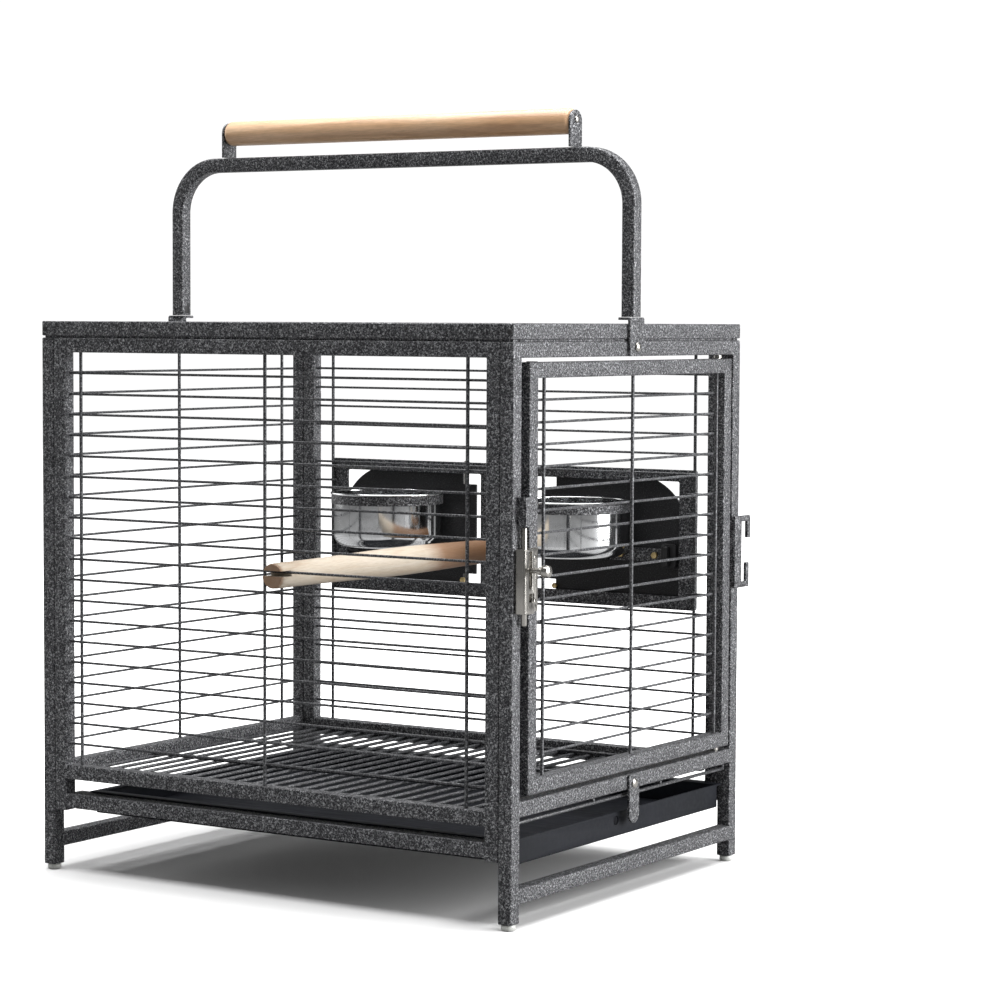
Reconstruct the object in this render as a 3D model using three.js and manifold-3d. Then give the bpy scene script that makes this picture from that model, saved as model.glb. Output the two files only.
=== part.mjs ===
// A wire-panelled bird carrier: welded square-tube panels filled with wire, a hinged end door with a
// barrel bolt, a slide-out floor grate and tray, two swing-out feeders, a perch and a carrying bow.
// Millimetres, +Z up. X runs along the long side, the front panel faces -Y and the door faces +X.
import * as THREE from 'three';
import { mergeVertices } from 'three/addons/utils/BufferGeometryUtils.js';
import Module from 'manifold-3d';

const wasm = await Module();
wasm.setup();

// ---- driving dimensions ----
const LENGTH = 480;
const DEPTH = 374;
const TUBE = 12.5;
const GAP = 0.3;
const OVERLAP = 0.3;
const FOOT_HEIGHT = 5;
const PANEL_TOP = 461.5;
const LID_BOTTOM = 463.2;
const BRACE_Z = 19.8;
const STILE_BOTTOM = 53.5;
const TRAY_RAIL_Z = 56;
const SIDE_RAIL_Z = 81;
const LEFT_RAIL_Z = 81;
const RIGHT_RAIL_Z = 88.7;

const HALF_L = LENGTH / 2;
const HALF_D = DEPTH / 2;
const LID_TOP = LID_BOTTOM + TUBE;
const SIDE_END = HALF_L - TUBE - GAP;
const SIDE_OPENING = SIDE_END - TUBE;
const END_OPENING = HALF_D - TUBE;
const RAIL_TOP = PANEL_TOP - TUBE;
const OUTSIDE_X = HALF_L + GAP;

// wire
const CROSS_WIRE = 2.2;
const UPRIGHT_WIRE = 3;
const WIRE_PITCH = 17.7;
const WIRE_INSET = 3.5;

// door and its hinge pins
const DOOR_NEAR = -162.5;
const DOOR_FAR = 171.5;
const DOOR_Z = 104.5;
const DOOR_TOP = 445.5;
const HINGE_X = HALF_L - TUBE / 2;
const HINGE_Y = 157;
const PIN_R = 2;
const PIN_DEPTH = 6;

// door bolt, drawn down out of its keeper
const BOLT_X = 243.8;
const BOLT_Y = -176.5;
const BOLT_R = 2.5;
const BOLT_BOTTOM = 240;
const BOLT_TOP = 317.3;
const BARREL_Z = 250;
const BARREL_TOP = 300.5;
const BARREL_OUT = 250;
const SLOT_Z = 270;
const SLOT_TOP = 299;
const KNOB_Z = 284;
const KNOB_STEM_R = 2;
const KNOB_R = 5;
const KNOB_HEAD = 8;
const KNOB_REACH = 268;
const KEEPER_Z = 317.8;
const KEEPER_TOP = 341;

// floor grate and tray
const ROD = 3;
const GRATE_Z = 82;
const GRATE_GAPS = 27;
const GRATE_LEFT = -226.5;
const GRATE_RIGHT = 236;
const GRATE_HALF = 172;
const TRAY_LEFT = -200;
const TRAY_RIGHT = 233;
const TRAY_HALF = 164;
const TRAY_FLOOR_Z = 50;
const TRAY_RIM_Z = 70;
const TRAY_LIP_HALF = 173;
const SHEET = 1.2;
const PULL_HOLE = { y: -12.5, z: 63, radius: 4 };
const LEDGE = 8;
const LEDGE_THICK = 2.2;

// feeders; x inside a feeder is measured outward from the middle of its window
const FEEDER_X = 105.5;
const FEEDER_HALF = 93.5;
const FEEDER_Z = 220;
const FEEDER_TOP = 345.5;
const WINDOW_HALF = 76;
const WINDOW_Z = 232;
const WINDOW_TOP = 335;
const FEEDER_FRONT = 183.8;
const FEEDER_THICK = 3;
const FEEDER_LAP = 7.5;
const HATCH_Y = 187.4;
const HATCH_THICK = 2;
const SWING_X = -55;
const SWING_Y = 191.8;
const SWING_R = 2;
const KNUCKLE_R = 3.4;
const STRAP_Z = 268;
const STRAP_HALF = 6;
const STRAP_BOLTS = [16.5, 51.5];
const BUTTON_X = 67;
const CUP_X = -5;
const CUP_Y = 133.9;
const RING_IN = 50.4;
const RING_OUT = 52;
const RING_Z = 308;
const RING_TOP = 316;
const BOWL_R = 49.8;
const BOWL_LIP_R = 53;
const BOWL_BOTTOM = 268;

// carrying bow, its brackets and the grip
const BOW_OUT = HALF_L + 2.8;
const BOW_FOOT = 481.3;
const BOW_TOP = 622.3;
const BOW_BEND = 48;
const BRACKET_Z = 449;
const BRACKET_HALF = 11.5;
const FLANGE_IN = 228;
const FLANGE_HALF = 6.5;
const FLANGE_THICK = 2.2;
const PIVOT_Z = 456.6;
const PIVOT_REACH = HALF_L + 5.4;
const GRIP_Z = 644;
const GRIP_R = 10.8;
const GRIP_HALF = 180.4;
const EAR_HALF = 9.5;
const EAR_THICK = 2;

// perch
const PERCH_X = 9.5;
const PERCH_FRONT = -190.3;
const PERCH_REAR = 183.4;
const PERCH_R = 10.6;
const PERCH_MIDDLE_R = 12.4;
const PERCH_LEVEL = 10;
const PERCH_DROP = 3;

// rear hook bracket
const HOOK_REACH = 203;

// ---- materials ----
function finish(color, roughness, metalness) {
  return new THREE.MeshStandardMaterial({ color, roughness, metalness });
}
const hammertone = finish(0x55575c, 0.55, 0.55);
const wireCoat = finish(0x3f4045, 0.5, 0.5);
const blackSheet = finish(0x1f2229, 0.4, 0.3);
const nickel = finish(0xb9b6ac, 0.25, 0.95);
const stainless = finish(0xcfd2d4, 0.15, 1);
const brass = finish(0xc2a25c, 0.35, 0.9);
const blackPlastic = finish(0x141415, 0.5, 0.05);
const palePlastic = finish(0xd9dad6, 0.4, 0);
const gripWood = finish(0xb98d5f, 0.55, 0);
const perchWood = finish(0xdcc7a3, 0.65, 0);

// ---- solids ----
function solidOf(geometry) {
  const bare = geometry.clone();
  bare.deleteAttribute('normal');
  bare.deleteAttribute('uv');
  const merged = mergeVertices(bare, 1e-4);
  const vertProperties = new Float32Array(merged.attributes.position.array);
  const triVerts = new Uint32Array(merged.index.array);
  return new wasm.Manifold(new wasm.Mesh({ numProp: 3, vertProperties, triVerts }));
}

function geometryOf(solid) {
  const mesh = solid.getMesh();
  const geometry = new THREE.BufferGeometry();
  geometry.setAttribute('position', new THREE.BufferAttribute(new Float32Array(mesh.vertProperties), 3));
  geometry.setIndex(new THREE.BufferAttribute(new Uint32Array(mesh.triVerts), 1));
  geometry.computeVertexNormals();
  return geometry;
}

function join(...geometries) {
  return geometryOf(geometries.map(solidOf).reduce((whole, solid) => whole.add(solid)));
}

function cut(geometry, ...tools) {
  return geometryOf(tools.map(solidOf).reduce((whole, tool) => whole.subtract(tool), solidOf(geometry)));
}

// a box between two corners given as x, y and z pairs, each pair in either order
function block(x0, x1, y0, y1, z0, z1) {
  const geometry = new THREE.BoxGeometry(Math.abs(x1 - x0), Math.abs(y1 - y0), Math.abs(z1 - z0));
  return geometry.translate((x0 + x1) / 2, (y0 + y1) / 2, (z0 + z1) / 2);
}

// an outline drawn in (x, z) and extruded from y0 to y1
function facingY(shape, y0, y1, curveSegments = 8) {
  const geometry = new THREE.ExtrudeGeometry(shape, { depth: y1 - y0, bevelEnabled: false, curveSegments });
  return geometry.rotateX(Math.PI / 2).translate(0, y1, 0);
}

// an outline drawn in (y, z) and extruded from x0 to x1
function facingX(shape, x0, x1, curveSegments = 8) {
  const geometry = new THREE.ExtrudeGeometry(shape, { depth: x1 - x0, bevelEnabled: false, curveSegments });
  const turn = new THREE.Matrix4().makeBasis(
    new THREE.Vector3(0, 1, 0),
    new THREE.Vector3(0, 0, 1),
    new THREE.Vector3(1, 0, 0),
  );
  return geometry.applyMatrix4(turn).translate(x0, 0, 0);
}

// an outline drawn in (x, y) and extruded from z0 to z1
function facingZ(shape, z0, z1) {
  const geometry = new THREE.ExtrudeGeometry(shape, { depth: z1 - z0, bevelEnabled: false });
  return geometry.translate(0, 0, z0);
}

function polygon(points) {
  return new THREE.Shape(points.map(([a, b]) => new THREE.Vector2(a, b)));
}

function rectangle(a0, a1, b0, b1) {
  return polygon([[a0, b0], [a1, b0], [a1, b1], [a0, b1]]);
}

function frameShape(outer, hole) {
  const shape = rectangle(...outer);
  shape.holes = [rectangle(...hole)];
  return shape;
}

function rodZ(radius, x, y, z0, z1, sides = 12) {
  const geometry = new THREE.CylinderGeometry(radius, radius, z1 - z0, sides);
  return geometry.rotateX(Math.PI / 2).translate(x, y, (z0 + z1) / 2);
}

function rodX(radius, x0, x1, y, z, sides = 12) {
  const geometry = new THREE.CylinderGeometry(radius, radius, Math.abs(x1 - x0), sides);
  return geometry.rotateZ(Math.PI / 2).translate((x0 + x1) / 2, y, z);
}

function rodY(radius, x, y0, y1, z, sides = 12) {
  const geometry = new THREE.CylinderGeometry(radius, radius, Math.abs(y1 - y0), sides);
  return geometry.translate(x, (y0 + y1) / 2, z);
}

// a profile of [radius, height] points turned about a vertical axis
function turned(profile, x, y, sides) {
  const points = profile.map(([radius, height]) => new THREE.Vector2(radius, height));
  const geometry = new THREE.LatheGeometry(points, sides);
  return geometry.rotateX(Math.PI / 2).translate(x, y, 0);
}

const crate = new THREE.Group();
function piece(name, geometry, material) {
  const mesh = new THREE.Mesh(geometry, material);
  mesh.name = name;
  crate.add(mesh);
}

// ---- wire panels: upright wires in the outer layer, cross wires welded behind them ----
function wirePanel(uprights, crossings, inLayer) {
  const crossNear = UPRIGHT_WIRE - OVERLAP;
  return join(
    ...uprights.map((bar) => inLayer(bar, 0, UPRIGHT_WIRE)),
    ...crossings.map((bar) => inLayer(bar, crossNear, crossNear + CROSS_WIRE)),
  );
}

function uprightBar(at, low, high) {
  return [at - UPRIGHT_WIRE / 2, at + UPRIGHT_WIRE / 2, low + GAP, high - GAP];
}

function crossBar(level, from, to) {
  return [from, to, level - CROSS_WIRE / 2, level + CROSS_WIRE / 2];
}

// heights that split the opening from low to high into equal gaps
function levelsBetween([low, high]) {
  const gaps = Math.round((high - low) / WIRE_PITCH);
  return Array.from({ length: gaps - 1 }, (_, i) => low + ((i + 1) * (high - low)) / gaps);
}

// a wire layer measured inward from the plane y (or x, or z) where the wires begin
function layerY(plane, inward) {
  return ([a0, a1, z0, z1], near, far) => block(
    a0, a1, plane + inward * near, plane + inward * far, z0, z1,
  );
}

function layerX(plane, inward) {
  return ([a0, a1, z0, z1], near, far) => block(
    plane + inward * near, plane + inward * far, a0, a1, z0, z1,
  );
}

function layerZ(plane) {
  return ([a0, a1, b0, b1], near, far) => block(a0, a1, b0, b1, plane - far, plane - near);
}

// ---- front and back panels, with their tray rails and ledges ----
const SIDE_WINDOW = [SIDE_RAIL_Z + TUBE, RAIL_TOP];
const GRATE_LEDGE_TOP = GRATE_Z - GAP;
const TRAY_LEDGE_TOP = TRAY_RIM_Z - SHEET - GAP;

function sidePanel(side) {
  const outline = polygon([
    [-SIDE_END, STILE_BOTTOM], [-SIDE_OPENING, STILE_BOTTOM], [-SIDE_OPENING, TRAY_RAIL_Z],
    [SIDE_OPENING, TRAY_RAIL_Z], [SIDE_OPENING, STILE_BOTTOM], [SIDE_END, STILE_BOTTOM],
    [SIDE_END, PANEL_TOP], [-SIDE_END, PANEL_TOP],
  ]);
  outline.holes = [
    rectangle(-SIDE_OPENING, SIDE_OPENING, ...SIDE_WINDOW),
    rectangle(-SIDE_OPENING, SIDE_OPENING, TRAY_RAIL_Z + TUBE, SIDE_RAIL_Z),
  ];
  const outer = side * HALF_D;
  const inner = side * END_OPENING;
  const panel = facingY(outline, Math.min(outer, inner), Math.max(outer, inner));
  const root = side * (END_OPENING + OVERLAP);
  const edge = side * (END_OPENING - LEDGE);
  const ledges = [GRATE_LEDGE_TOP, TRAY_LEDGE_TOP].map((top) => block(
    -SIDE_OPENING, SIDE_OPENING, root, edge, top - LEDGE_THICK, top,
  ));
  return join(panel, ...ledges);
}

piece('front_frame', sidePanel(-1), hammertone);
piece('back_frame', sidePanel(1), hammertone);

const sideLevels = levelsBetween(SIDE_WINDOW);
const sideReach = SIDE_OPENING - GAP;
piece('front_wires', wirePanel(
  [-200.6, -4, 194.6].map((x) => uprightBar(x, ...SIDE_WINDOW)),
  sideLevels.map((z) => crossBar(z, -sideReach, sideReach)),
  layerY(-HALF_D + WIRE_INSET, 1),
), wireCoat);

// the back wires end on the bands of the two feeder frames
const lapIn = FEEDER_X - FEEDER_HALF + FEEDER_LAP;
const lapOut = FEEDER_X + FEEDER_HALF - FEEDER_LAP;
const meetsFeeder = (z) => z > FEEDER_Z + CROSS_WIRE && z < FEEDER_TOP - FEEDER_LAP;
const backCrossings = sideLevels.flatMap((z) => (meetsFeeder(z)
  ? [crossBar(z, -sideReach, -lapOut), crossBar(z, -lapIn, lapIn), crossBar(z, lapOut, sideReach)]
  : [crossBar(z, -sideReach, sideReach)]));
piece('back_wires', wirePanel(
  [-197.3, -4, 198.3].map((x) => uprightBar(x, ...SIDE_WINDOW)),
  backCrossings,
  layerY(FEEDER_FRONT - GAP, -1),
), wireCoat);

// ---- end panels, whose posts are the legs ----
function endPanel(side, window) {
  const outline = polygon([
    [-HALF_D, FOOT_HEIGHT], [-END_OPENING, FOOT_HEIGHT], [-END_OPENING, BRACE_Z],
    [END_OPENING, BRACE_Z], [END_OPENING, FOOT_HEIGHT], [HALF_D, FOOT_HEIGHT],
    [HALF_D, PANEL_TOP], [-HALF_D, PANEL_TOP],
  ]);
  outline.holes = [
    rectangle(-END_OPENING, END_OPENING, ...window),
    rectangle(-END_OPENING, END_OPENING, BRACE_Z + TUBE, window[0] - TUBE),
  ];
  const inner = side * (HALF_L - TUBE);
  const outer = side * HALF_L;
  return facingX(outline, Math.min(inner, outer), Math.max(inner, outer));
}

const LEFT_WINDOW = [LEFT_RAIL_Z + TUBE, RAIL_TOP];
const RIGHT_WINDOW = [RIGHT_RAIL_Z + TUBE, RAIL_TOP];
piece('left_frame', endPanel(-1, LEFT_WINDOW), hammertone);

const endReach = END_OPENING - GAP;
piece('left_wires', wirePanel(
  [-166, -5.4, 150.5].map((y) => uprightBar(y, ...LEFT_WINDOW)),
  levelsBetween(LEFT_WINDOW).map((z) => crossBar(z, -endReach, endReach)),
  layerX(-HALF_L + WIRE_INSET, 1),
), wireCoat);

// the right panel carries an angle strip that stops the door, and sockets for the hinge pins
const STOP_NEAR = -END_OPENING + GAP;
const STOP_WIDTH = 17;
const STOP_THICK = 2;
const STOP_RETURN = 3.5;
const stopFace = HALF_L - TUBE - GAP;
const socketR = PIN_R + GAP;
const rightPanel = join(
  endPanel(1, RIGHT_WINDOW),
  block(stopFace - STOP_THICK, stopFace, STOP_NEAR, STOP_NEAR + STOP_WIDTH, ...RIGHT_WINDOW),
  block(
    stopFace - STOP_THICK, HALF_L - TUBE + STOP_RETURN, STOP_NEAR, STOP_NEAR + STOP_THICK,
    RIGHT_WINDOW[0] - OVERLAP, RIGHT_WINDOW[1] + OVERLAP,
  ),
);
piece('right_frame', cut(
  rightPanel,
  rodZ(socketR, HINGE_X, HINGE_Y, RIGHT_WINDOW[0] - PIN_DEPTH, RIGHT_WINDOW[0] + 1),
  rodZ(socketR, HINGE_X, HINGE_Y, RIGHT_WINDOW[1] - 1, RIGHT_WINDOW[1] + PIN_DEPTH),
), hammertone);

// ---- door ----
const DOOR_WINDOW = [DOOR_Z + TUBE, DOOR_TOP - TUBE];
const doorShape = frameShape(
  [DOOR_NEAR, DOOR_FAR, DOOR_Z, DOOR_TOP],
  [DOOR_NEAR + TUBE, DOOR_FAR - TUBE, ...DOOR_WINDOW],
);
piece('door_frame', cut(
  facingX(doorShape, HALF_L - TUBE, HALF_L),
  rodZ(socketR, HINGE_X, HINGE_Y, DOOR_Z - 1, DOOR_Z + PIN_DEPTH),
  rodZ(socketR, HINGE_X, HINGE_Y, DOOR_TOP - PIN_DEPTH, DOOR_TOP + 1),
), hammertone);

piece('door_wires', wirePanel(
  [-134, 6.5, 153].map((y) => uprightBar(y, ...DOOR_WINDOW)),
  levelsBetween(DOOR_WINDOW).map((z) => crossBar(z, DOOR_NEAR + TUBE + GAP, DOOR_FAR - TUBE - GAP)),
  layerX(HALF_L - WIRE_INSET, -1),
), wireCoat);

const pinReach = PIN_DEPTH - GAP;
piece('door_pin_bottom', rodZ(
  PIN_R, HINGE_X, HINGE_Y, RIGHT_WINDOW[0] - pinReach, DOOR_Z + pinReach,
), nickel);
piece('door_pin_top', rodZ(
  PIN_R, HINGE_X, HINGE_Y, DOOR_TOP - pinReach, RIGHT_WINDOW[1] + pinReach,
), nickel);

// ---- barrel bolt: body on the door, keeper on the post ----
const BARREL_NEAR = BOLT_Y - 8;
const BARREL_FAR = BOLT_Y + 5.5;
const BASE_FAR = DOOR_NEAR + TUBE - 2;
const slotHalf = KNOB_STEM_R + GAP;
piece('bolt_barrel', cut(
  join(
    block(OUTSIDE_X, BARREL_OUT, BARREL_NEAR, BARREL_FAR, BARREL_Z, BARREL_TOP),
    block(OUTSIDE_X, OUTSIDE_X + 2, BOLT_Y, BASE_FAR, BARREL_Z, BARREL_TOP),
  ),
  rodZ(BOLT_R + GAP, BOLT_X, BOLT_Y, BARREL_Z - 1, BARREL_TOP + 1),
  block(BOLT_X, BARREL_OUT + 1, BOLT_Y - slotHalf, BOLT_Y + slotHalf, SLOT_Z, SLOT_TOP),
), nickel);
piece('bolt_rod', rodZ(BOLT_R, BOLT_X, BOLT_Y, BOLT_BOTTOM, BOLT_TOP), nickel);
piece('bolt_knob', join(
  rodX(KNOB_STEM_R, BOLT_X + BOLT_R + GAP, KNOB_REACH - KNOB_HEAD / 2, BOLT_Y, KNOB_Z),
  rodX(KNOB_R, KNOB_REACH - KNOB_HEAD, KNOB_REACH, BOLT_Y, KNOB_Z),
), nickel);
const KEEPER_CLEAR = 3.1;
const KEEPER_WALL = 1.6;
const keeperHalf = KEEPER_CLEAR + KEEPER_WALL;
piece('bolt_keeper', cut(
  block(OUTSIDE_X, BOLT_X + keeperHalf, BOLT_Y - keeperHalf, BOLT_Y + keeperHalf, KEEPER_Z, KEEPER_TOP),
  block(
    OUTSIDE_X - 1, BOLT_X + KEEPER_CLEAR, BOLT_Y - KEEPER_CLEAR, BOLT_Y + KEEPER_CLEAR,
    KEEPER_Z - 1, KEEPER_TOP + 1,
  ),
), hammertone);

// ---- rear hook bracket on the far right post ----
const HOOK_Z = [243.5, 306.8];
const HOOK_LIPS = [265, 287];
const PRONG = 5;
const hookShape = polygon([
  [END_OPENING, HOOK_Z[0]], [HOOK_REACH - 2, HOOK_Z[0]], [HOOK_REACH - 2, HOOK_LIPS[0]],
  [HOOK_REACH - 2 - PRONG, HOOK_LIPS[0]], [HOOK_REACH - 2 - PRONG, HOOK_Z[0] + PRONG],
  [HALF_D, HOOK_Z[0] + PRONG], [HALF_D, HOOK_Z[1] - PRONG], [HOOK_REACH - PRONG, HOOK_Z[1] - PRONG],
  [HOOK_REACH - PRONG, HOOK_LIPS[1]], [HOOK_REACH, HOOK_LIPS[1]], [HOOK_REACH, HOOK_Z[1]],
  [END_OPENING, HOOK_Z[1]],
]);
piece('rear_hook_bracket', facingX(hookShape, OUTSIDE_X, OUTSIDE_X + 3), hammertone);

// ---- lid panel, set down on the other panels by a recessed seat ----
const SEAT_INSET = 2;
const lidShape = frameShape(
  [-HALF_L, HALF_L, -HALF_D, HALF_D],
  [-HALF_L + TUBE, HALF_L - TUBE, -END_OPENING, END_OPENING],
);
const seatShape = frameShape(
  [-HALF_L + SEAT_INSET, HALF_L - SEAT_INSET, -HALF_D + SEAT_INSET, HALF_D - SEAT_INSET],
  [-HALF_L + TUBE, HALF_L - TUBE, -END_OPENING, END_OPENING],
);
piece('top_frame', join(
  facingZ(lidShape, LID_BOTTOM, LID_TOP),
  facingZ(seatShape, PANEL_TOP + GAP, LID_BOTTOM + OVERLAP),
), hammertone);

const LID_GAPS = 20;
const lidPitch = (2 * END_OPENING) / LID_GAPS;
const lidReach = HALF_L - TUBE - GAP;
const lidRows = Array.from({ length: LID_GAPS - 1 }, (_, i) => (i + 1) * lidPitch - END_OPENING);
piece('top_wires', wirePanel(
  [-198, 0, 198].map((x) => uprightBar(x, -END_OPENING, END_OPENING)),
  lidRows.map((y) => crossBar(y, -lidReach, lidReach)),
  layerZ(LID_TOP - WIRE_INSET),
), wireCoat);

// ---- foot glides and the plugs in the lid's corners ----
const FOOT_R = 5.8;
const PLUG_X = 236.4;
const PLUG_Z = 469.3;
const PLUG_R = 2.5;
const PLUG_OUT = 1;
for (const [end, sx] of [['left', -1], ['right', 1]]) {
  for (const [side, sy] of [['front', -1], ['rear', 1]]) {
    const legX = sx * (HALF_L - TUBE / 2);
    const legY = sy * (HALF_D - TUBE / 2);
    const glide = rodZ(FOOT_R, legX, legY, 0, FOOT_HEIGHT - GAP, 16);
    piece(`foot_${side}_${end}`, glide, palePlastic);
    const face = sy * (HALF_D + GAP);
    const plug = rodY(PLUG_R, sx * PLUG_X, face, face + sy * PLUG_OUT, PLUG_Z);
    piece(`lid_plug_${side}_${end}`, plug, blackPlastic);
  }
}

// ---- floor grate: rods across the width on four long rods ----
const gratePitch = (GRATE_RIGHT - GRATE_LEFT - ROD) / GRATE_GAPS;
const acrossRods = Array.from({ length: GRATE_GAPS + 1 }, (_, i) => GRATE_LEFT + i * gratePitch);
piece('floor_grate', join(
  ...acrossRods.map((x) => block(x, x + ROD, -GRATE_HALF, GRATE_HALF, GRATE_Z, GRATE_Z + ROD)),
  ...[-GRATE_HALF, -55, 56.5, GRATE_HALF - ROD].map((y) => block(
    GRATE_LEFT, GRATE_RIGHT, y, y + ROD, GRATE_Z + ROD - OVERLAP, GRATE_Z + 2 * ROD - OVERLAP,
  )),
), wireCoat);

// ---- tray: a sheet pan hung by its side lips on the ledges ----
const pan = cut(
  block(TRAY_LEFT, TRAY_RIGHT, -TRAY_HALF, TRAY_HALF, TRAY_FLOOR_Z, TRAY_RIM_Z),
  block(
    TRAY_LEFT + SHEET, TRAY_RIGHT - SHEET, -TRAY_HALF + SHEET, TRAY_HALF - SHEET,
    TRAY_FLOOR_Z + SHEET, TRAY_RIM_Z + 1,
  ),
);
const lipRoot = TRAY_HALF - SHEET / 2;
const lipZ = TRAY_RIM_Z - SHEET;
piece('tray', cut(
  join(
    pan,
    block(TRAY_LEFT, TRAY_RIGHT, -TRAY_LIP_HALF, -lipRoot, lipZ, TRAY_RIM_Z),
    block(TRAY_LEFT, TRAY_RIGHT, lipRoot, TRAY_LIP_HALF, lipZ, TRAY_RIM_Z),
  ),
  rodX(PULL_HOLE.radius, TRAY_RIGHT - 2 * SHEET, TRAY_RIGHT + 1, PULL_HOLE.y, PULL_HOLE.z),
), blackSheet);

// ---- turning tab that keeps the tray and grate in ----
const TAB_Y = 1.5;
const TAB_PIVOT_Z = 93.4;
const TAB_HALF = 8;
const TAB_TOP = 101;
const TAB_BOTTOM = 60;
const TAB_THICK = 2;
const TAB_PIVOT_R = 2.2;
const tabShape = new THREE.Shape();
tabShape.moveTo(TAB_Y - TAB_HALF, TAB_TOP);
tabShape.lineTo(TAB_Y - TAB_HALF, TAB_BOTTOM + TAB_HALF);
tabShape.absarc(TAB_Y, TAB_BOTTOM + TAB_HALF, TAB_HALF, Math.PI, 2 * Math.PI, false);
tabShape.lineTo(TAB_Y + TAB_HALF, TAB_TOP);
const tabOut = OUTSIDE_X + TAB_THICK;
piece('tray_latch_tab', cut(
  facingX(tabShape, OUTSIDE_X, tabOut, 10),
  rodX(TAB_PIVOT_R + GAP, OUTSIDE_X - 1, tabOut + 1, TAB_Y, TAB_PIVOT_Z),
), hammertone);
piece('tray_latch_rivet', join(
  rodX(TAB_PIVOT_R, OUTSIDE_X, tabOut + 1, TAB_Y, TAB_PIVOT_Z),
  rodX(4.25, tabOut + GAP, tabOut + 2, TAB_Y, TAB_PIVOT_Z, 16),
), nickel);

// ---- carrying bow, its brackets and the grip ----
const bowIn = BOW_OUT - TUBE;
const bendX = BOW_OUT - BOW_BEND;
const bendZ = BOW_TOP - BOW_BEND;
const bowShape = new THREE.Shape();
bowShape.moveTo(-BOW_OUT, BOW_FOOT);
bowShape.lineTo(-bowIn, BOW_FOOT);
bowShape.absarc(-bendX, bendZ, BOW_BEND - TUBE, Math.PI, Math.PI / 2, true);
bowShape.absarc(bendX, bendZ, BOW_BEND - TUBE, Math.PI / 2, 0, true);
bowShape.lineTo(bowIn, BOW_FOOT);
bowShape.lineTo(BOW_OUT, BOW_FOOT);
bowShape.absarc(bendX, bendZ, BOW_BEND, 0, Math.PI / 2, false);
bowShape.absarc(-bendX, bendZ, BOW_BEND, Math.PI / 2, Math.PI, false);
piece('handle_bow', facingY(bowShape, -TUBE / 2, TUBE / 2, 10), hammertone);

const EAR_X = GRIP_HALF + GAP;
const EAR_SCREW_Z = 645.5;
const earShape = new THREE.Shape();
earShape.moveTo(-EAR_HALF, BOW_TOP + GAP);
earShape.lineTo(EAR_HALF, BOW_TOP + GAP);
earShape.absarc(0, GRIP_Z, EAR_HALF, 0, Math.PI, false);
const BRACKET_TOP = BOW_FOOT - GAP;
const PIVOT_R = 2.5;
const PIVOT_HEAD_R = 4;
for (const [end, sx] of [['left', -1], ['right', 1]]) {
  const from = sx * OUTSIDE_X;
  const to = sx * BOW_OUT;
  piece(`handle_bracket_${end}`, cut(
    join(
      block(from, to, -BRACKET_HALF, BRACKET_HALF, BRACKET_Z, BRACKET_TOP),
      block(sx * FLANGE_IN, to, -FLANGE_HALF, FLANGE_HALF, BRACKET_TOP - FLANGE_THICK, BRACKET_TOP),
    ),
    rodX(PIVOT_R + GAP, from - sx, to + sx, 0, PIVOT_Z),
  ), hammertone);
  piece(`handle_bolt_${end}`, join(
    rodX(PIVOT_R, from, to + sx, 0, PIVOT_Z),
    rodX(PIVOT_HEAD_R, to + sx * GAP, sx * PIVOT_REACH, 0, PIVOT_Z, 16),
  ), nickel);
  const earIn = sx * EAR_X;
  const earOut = sx * (EAR_X + EAR_THICK);
  const ear = facingX(earShape, Math.min(earIn, earOut), Math.max(earIn, earOut));
  piece(`grip_ear_${end}`, ear, hammertone);
  const screw = rodX(3, earOut + sx * GAP, earOut + sx * 2, 0, EAR_SCREW_Z);
  piece(`grip_screw_${end}`, screw, nickel);
}
const GRIP_ROUND = 4;
piece('handle_grip', turned([
  [0, -GRIP_HALF], [GRIP_R - GRIP_ROUND, -GRIP_HALF], [GRIP_R - 1.2, -GRIP_HALF + 1.2],
  [GRIP_R, -GRIP_HALF + GRIP_ROUND], [GRIP_R, GRIP_HALF - GRIP_ROUND],
  [GRIP_R - 1.2, GRIP_HALF - 1.2], [GRIP_R - GRIP_ROUND, GRIP_HALF], [0, GRIP_HALF],
], 0, 0, 24).rotateY(Math.PI / 2).translate(0, 0, GRIP_Z), gripWood);

// ---- perch: a dowel fuller in the middle, its ends slotted over a cross wire ----
const perchWireZ = sideLevels[PERCH_LEVEL - 1];
const perchZ = perchWireZ - PERCH_DROP;
const perchHalf = (PERCH_REAR - PERCH_FRONT) / 2;
const perchBody = turned([
  [0, -perchHalf], [PERCH_R - 1, -perchHalf], [PERCH_R, -perchHalf + 1.5],
  [PERCH_R, -perchHalf * 0.85], [PERCH_R + 1.2, -perchHalf / 2], [PERCH_MIDDLE_R, 0],
  [PERCH_R + 1.2, perchHalf / 2], [PERCH_R, perchHalf * 0.85], [PERCH_R, perchHalf - 1.5],
  [PERCH_R - 1, perchHalf], [0, perchHalf],
], 0, 0, 20)
  .rotateX(-Math.PI / 2)
  .translate(PERCH_X, (PERCH_FRONT + PERCH_REAR) / 2, perchZ);
const SLOT_BELOW = 3.4;
const SLOT_ABOVE = CROSS_WIRE / 2 + GAP;
const FRONT_SLOT = 13;
const REAR_SLOT = 7;
const perchSlot = (y0, y1) => block(
  PERCH_X - 2 * PERCH_R, PERCH_X + 2 * PERCH_R, y0, y1, perchWireZ - SLOT_BELOW, perchWireZ + SLOT_ABOVE,
);
piece('perch', cut(
  perchBody,
  perchSlot(PERCH_FRONT - 1, PERCH_FRONT + FRONT_SLOT),
  perchSlot(PERCH_REAR - REAR_SLOT, PERCH_REAR + 1),
), perchWood);

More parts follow.
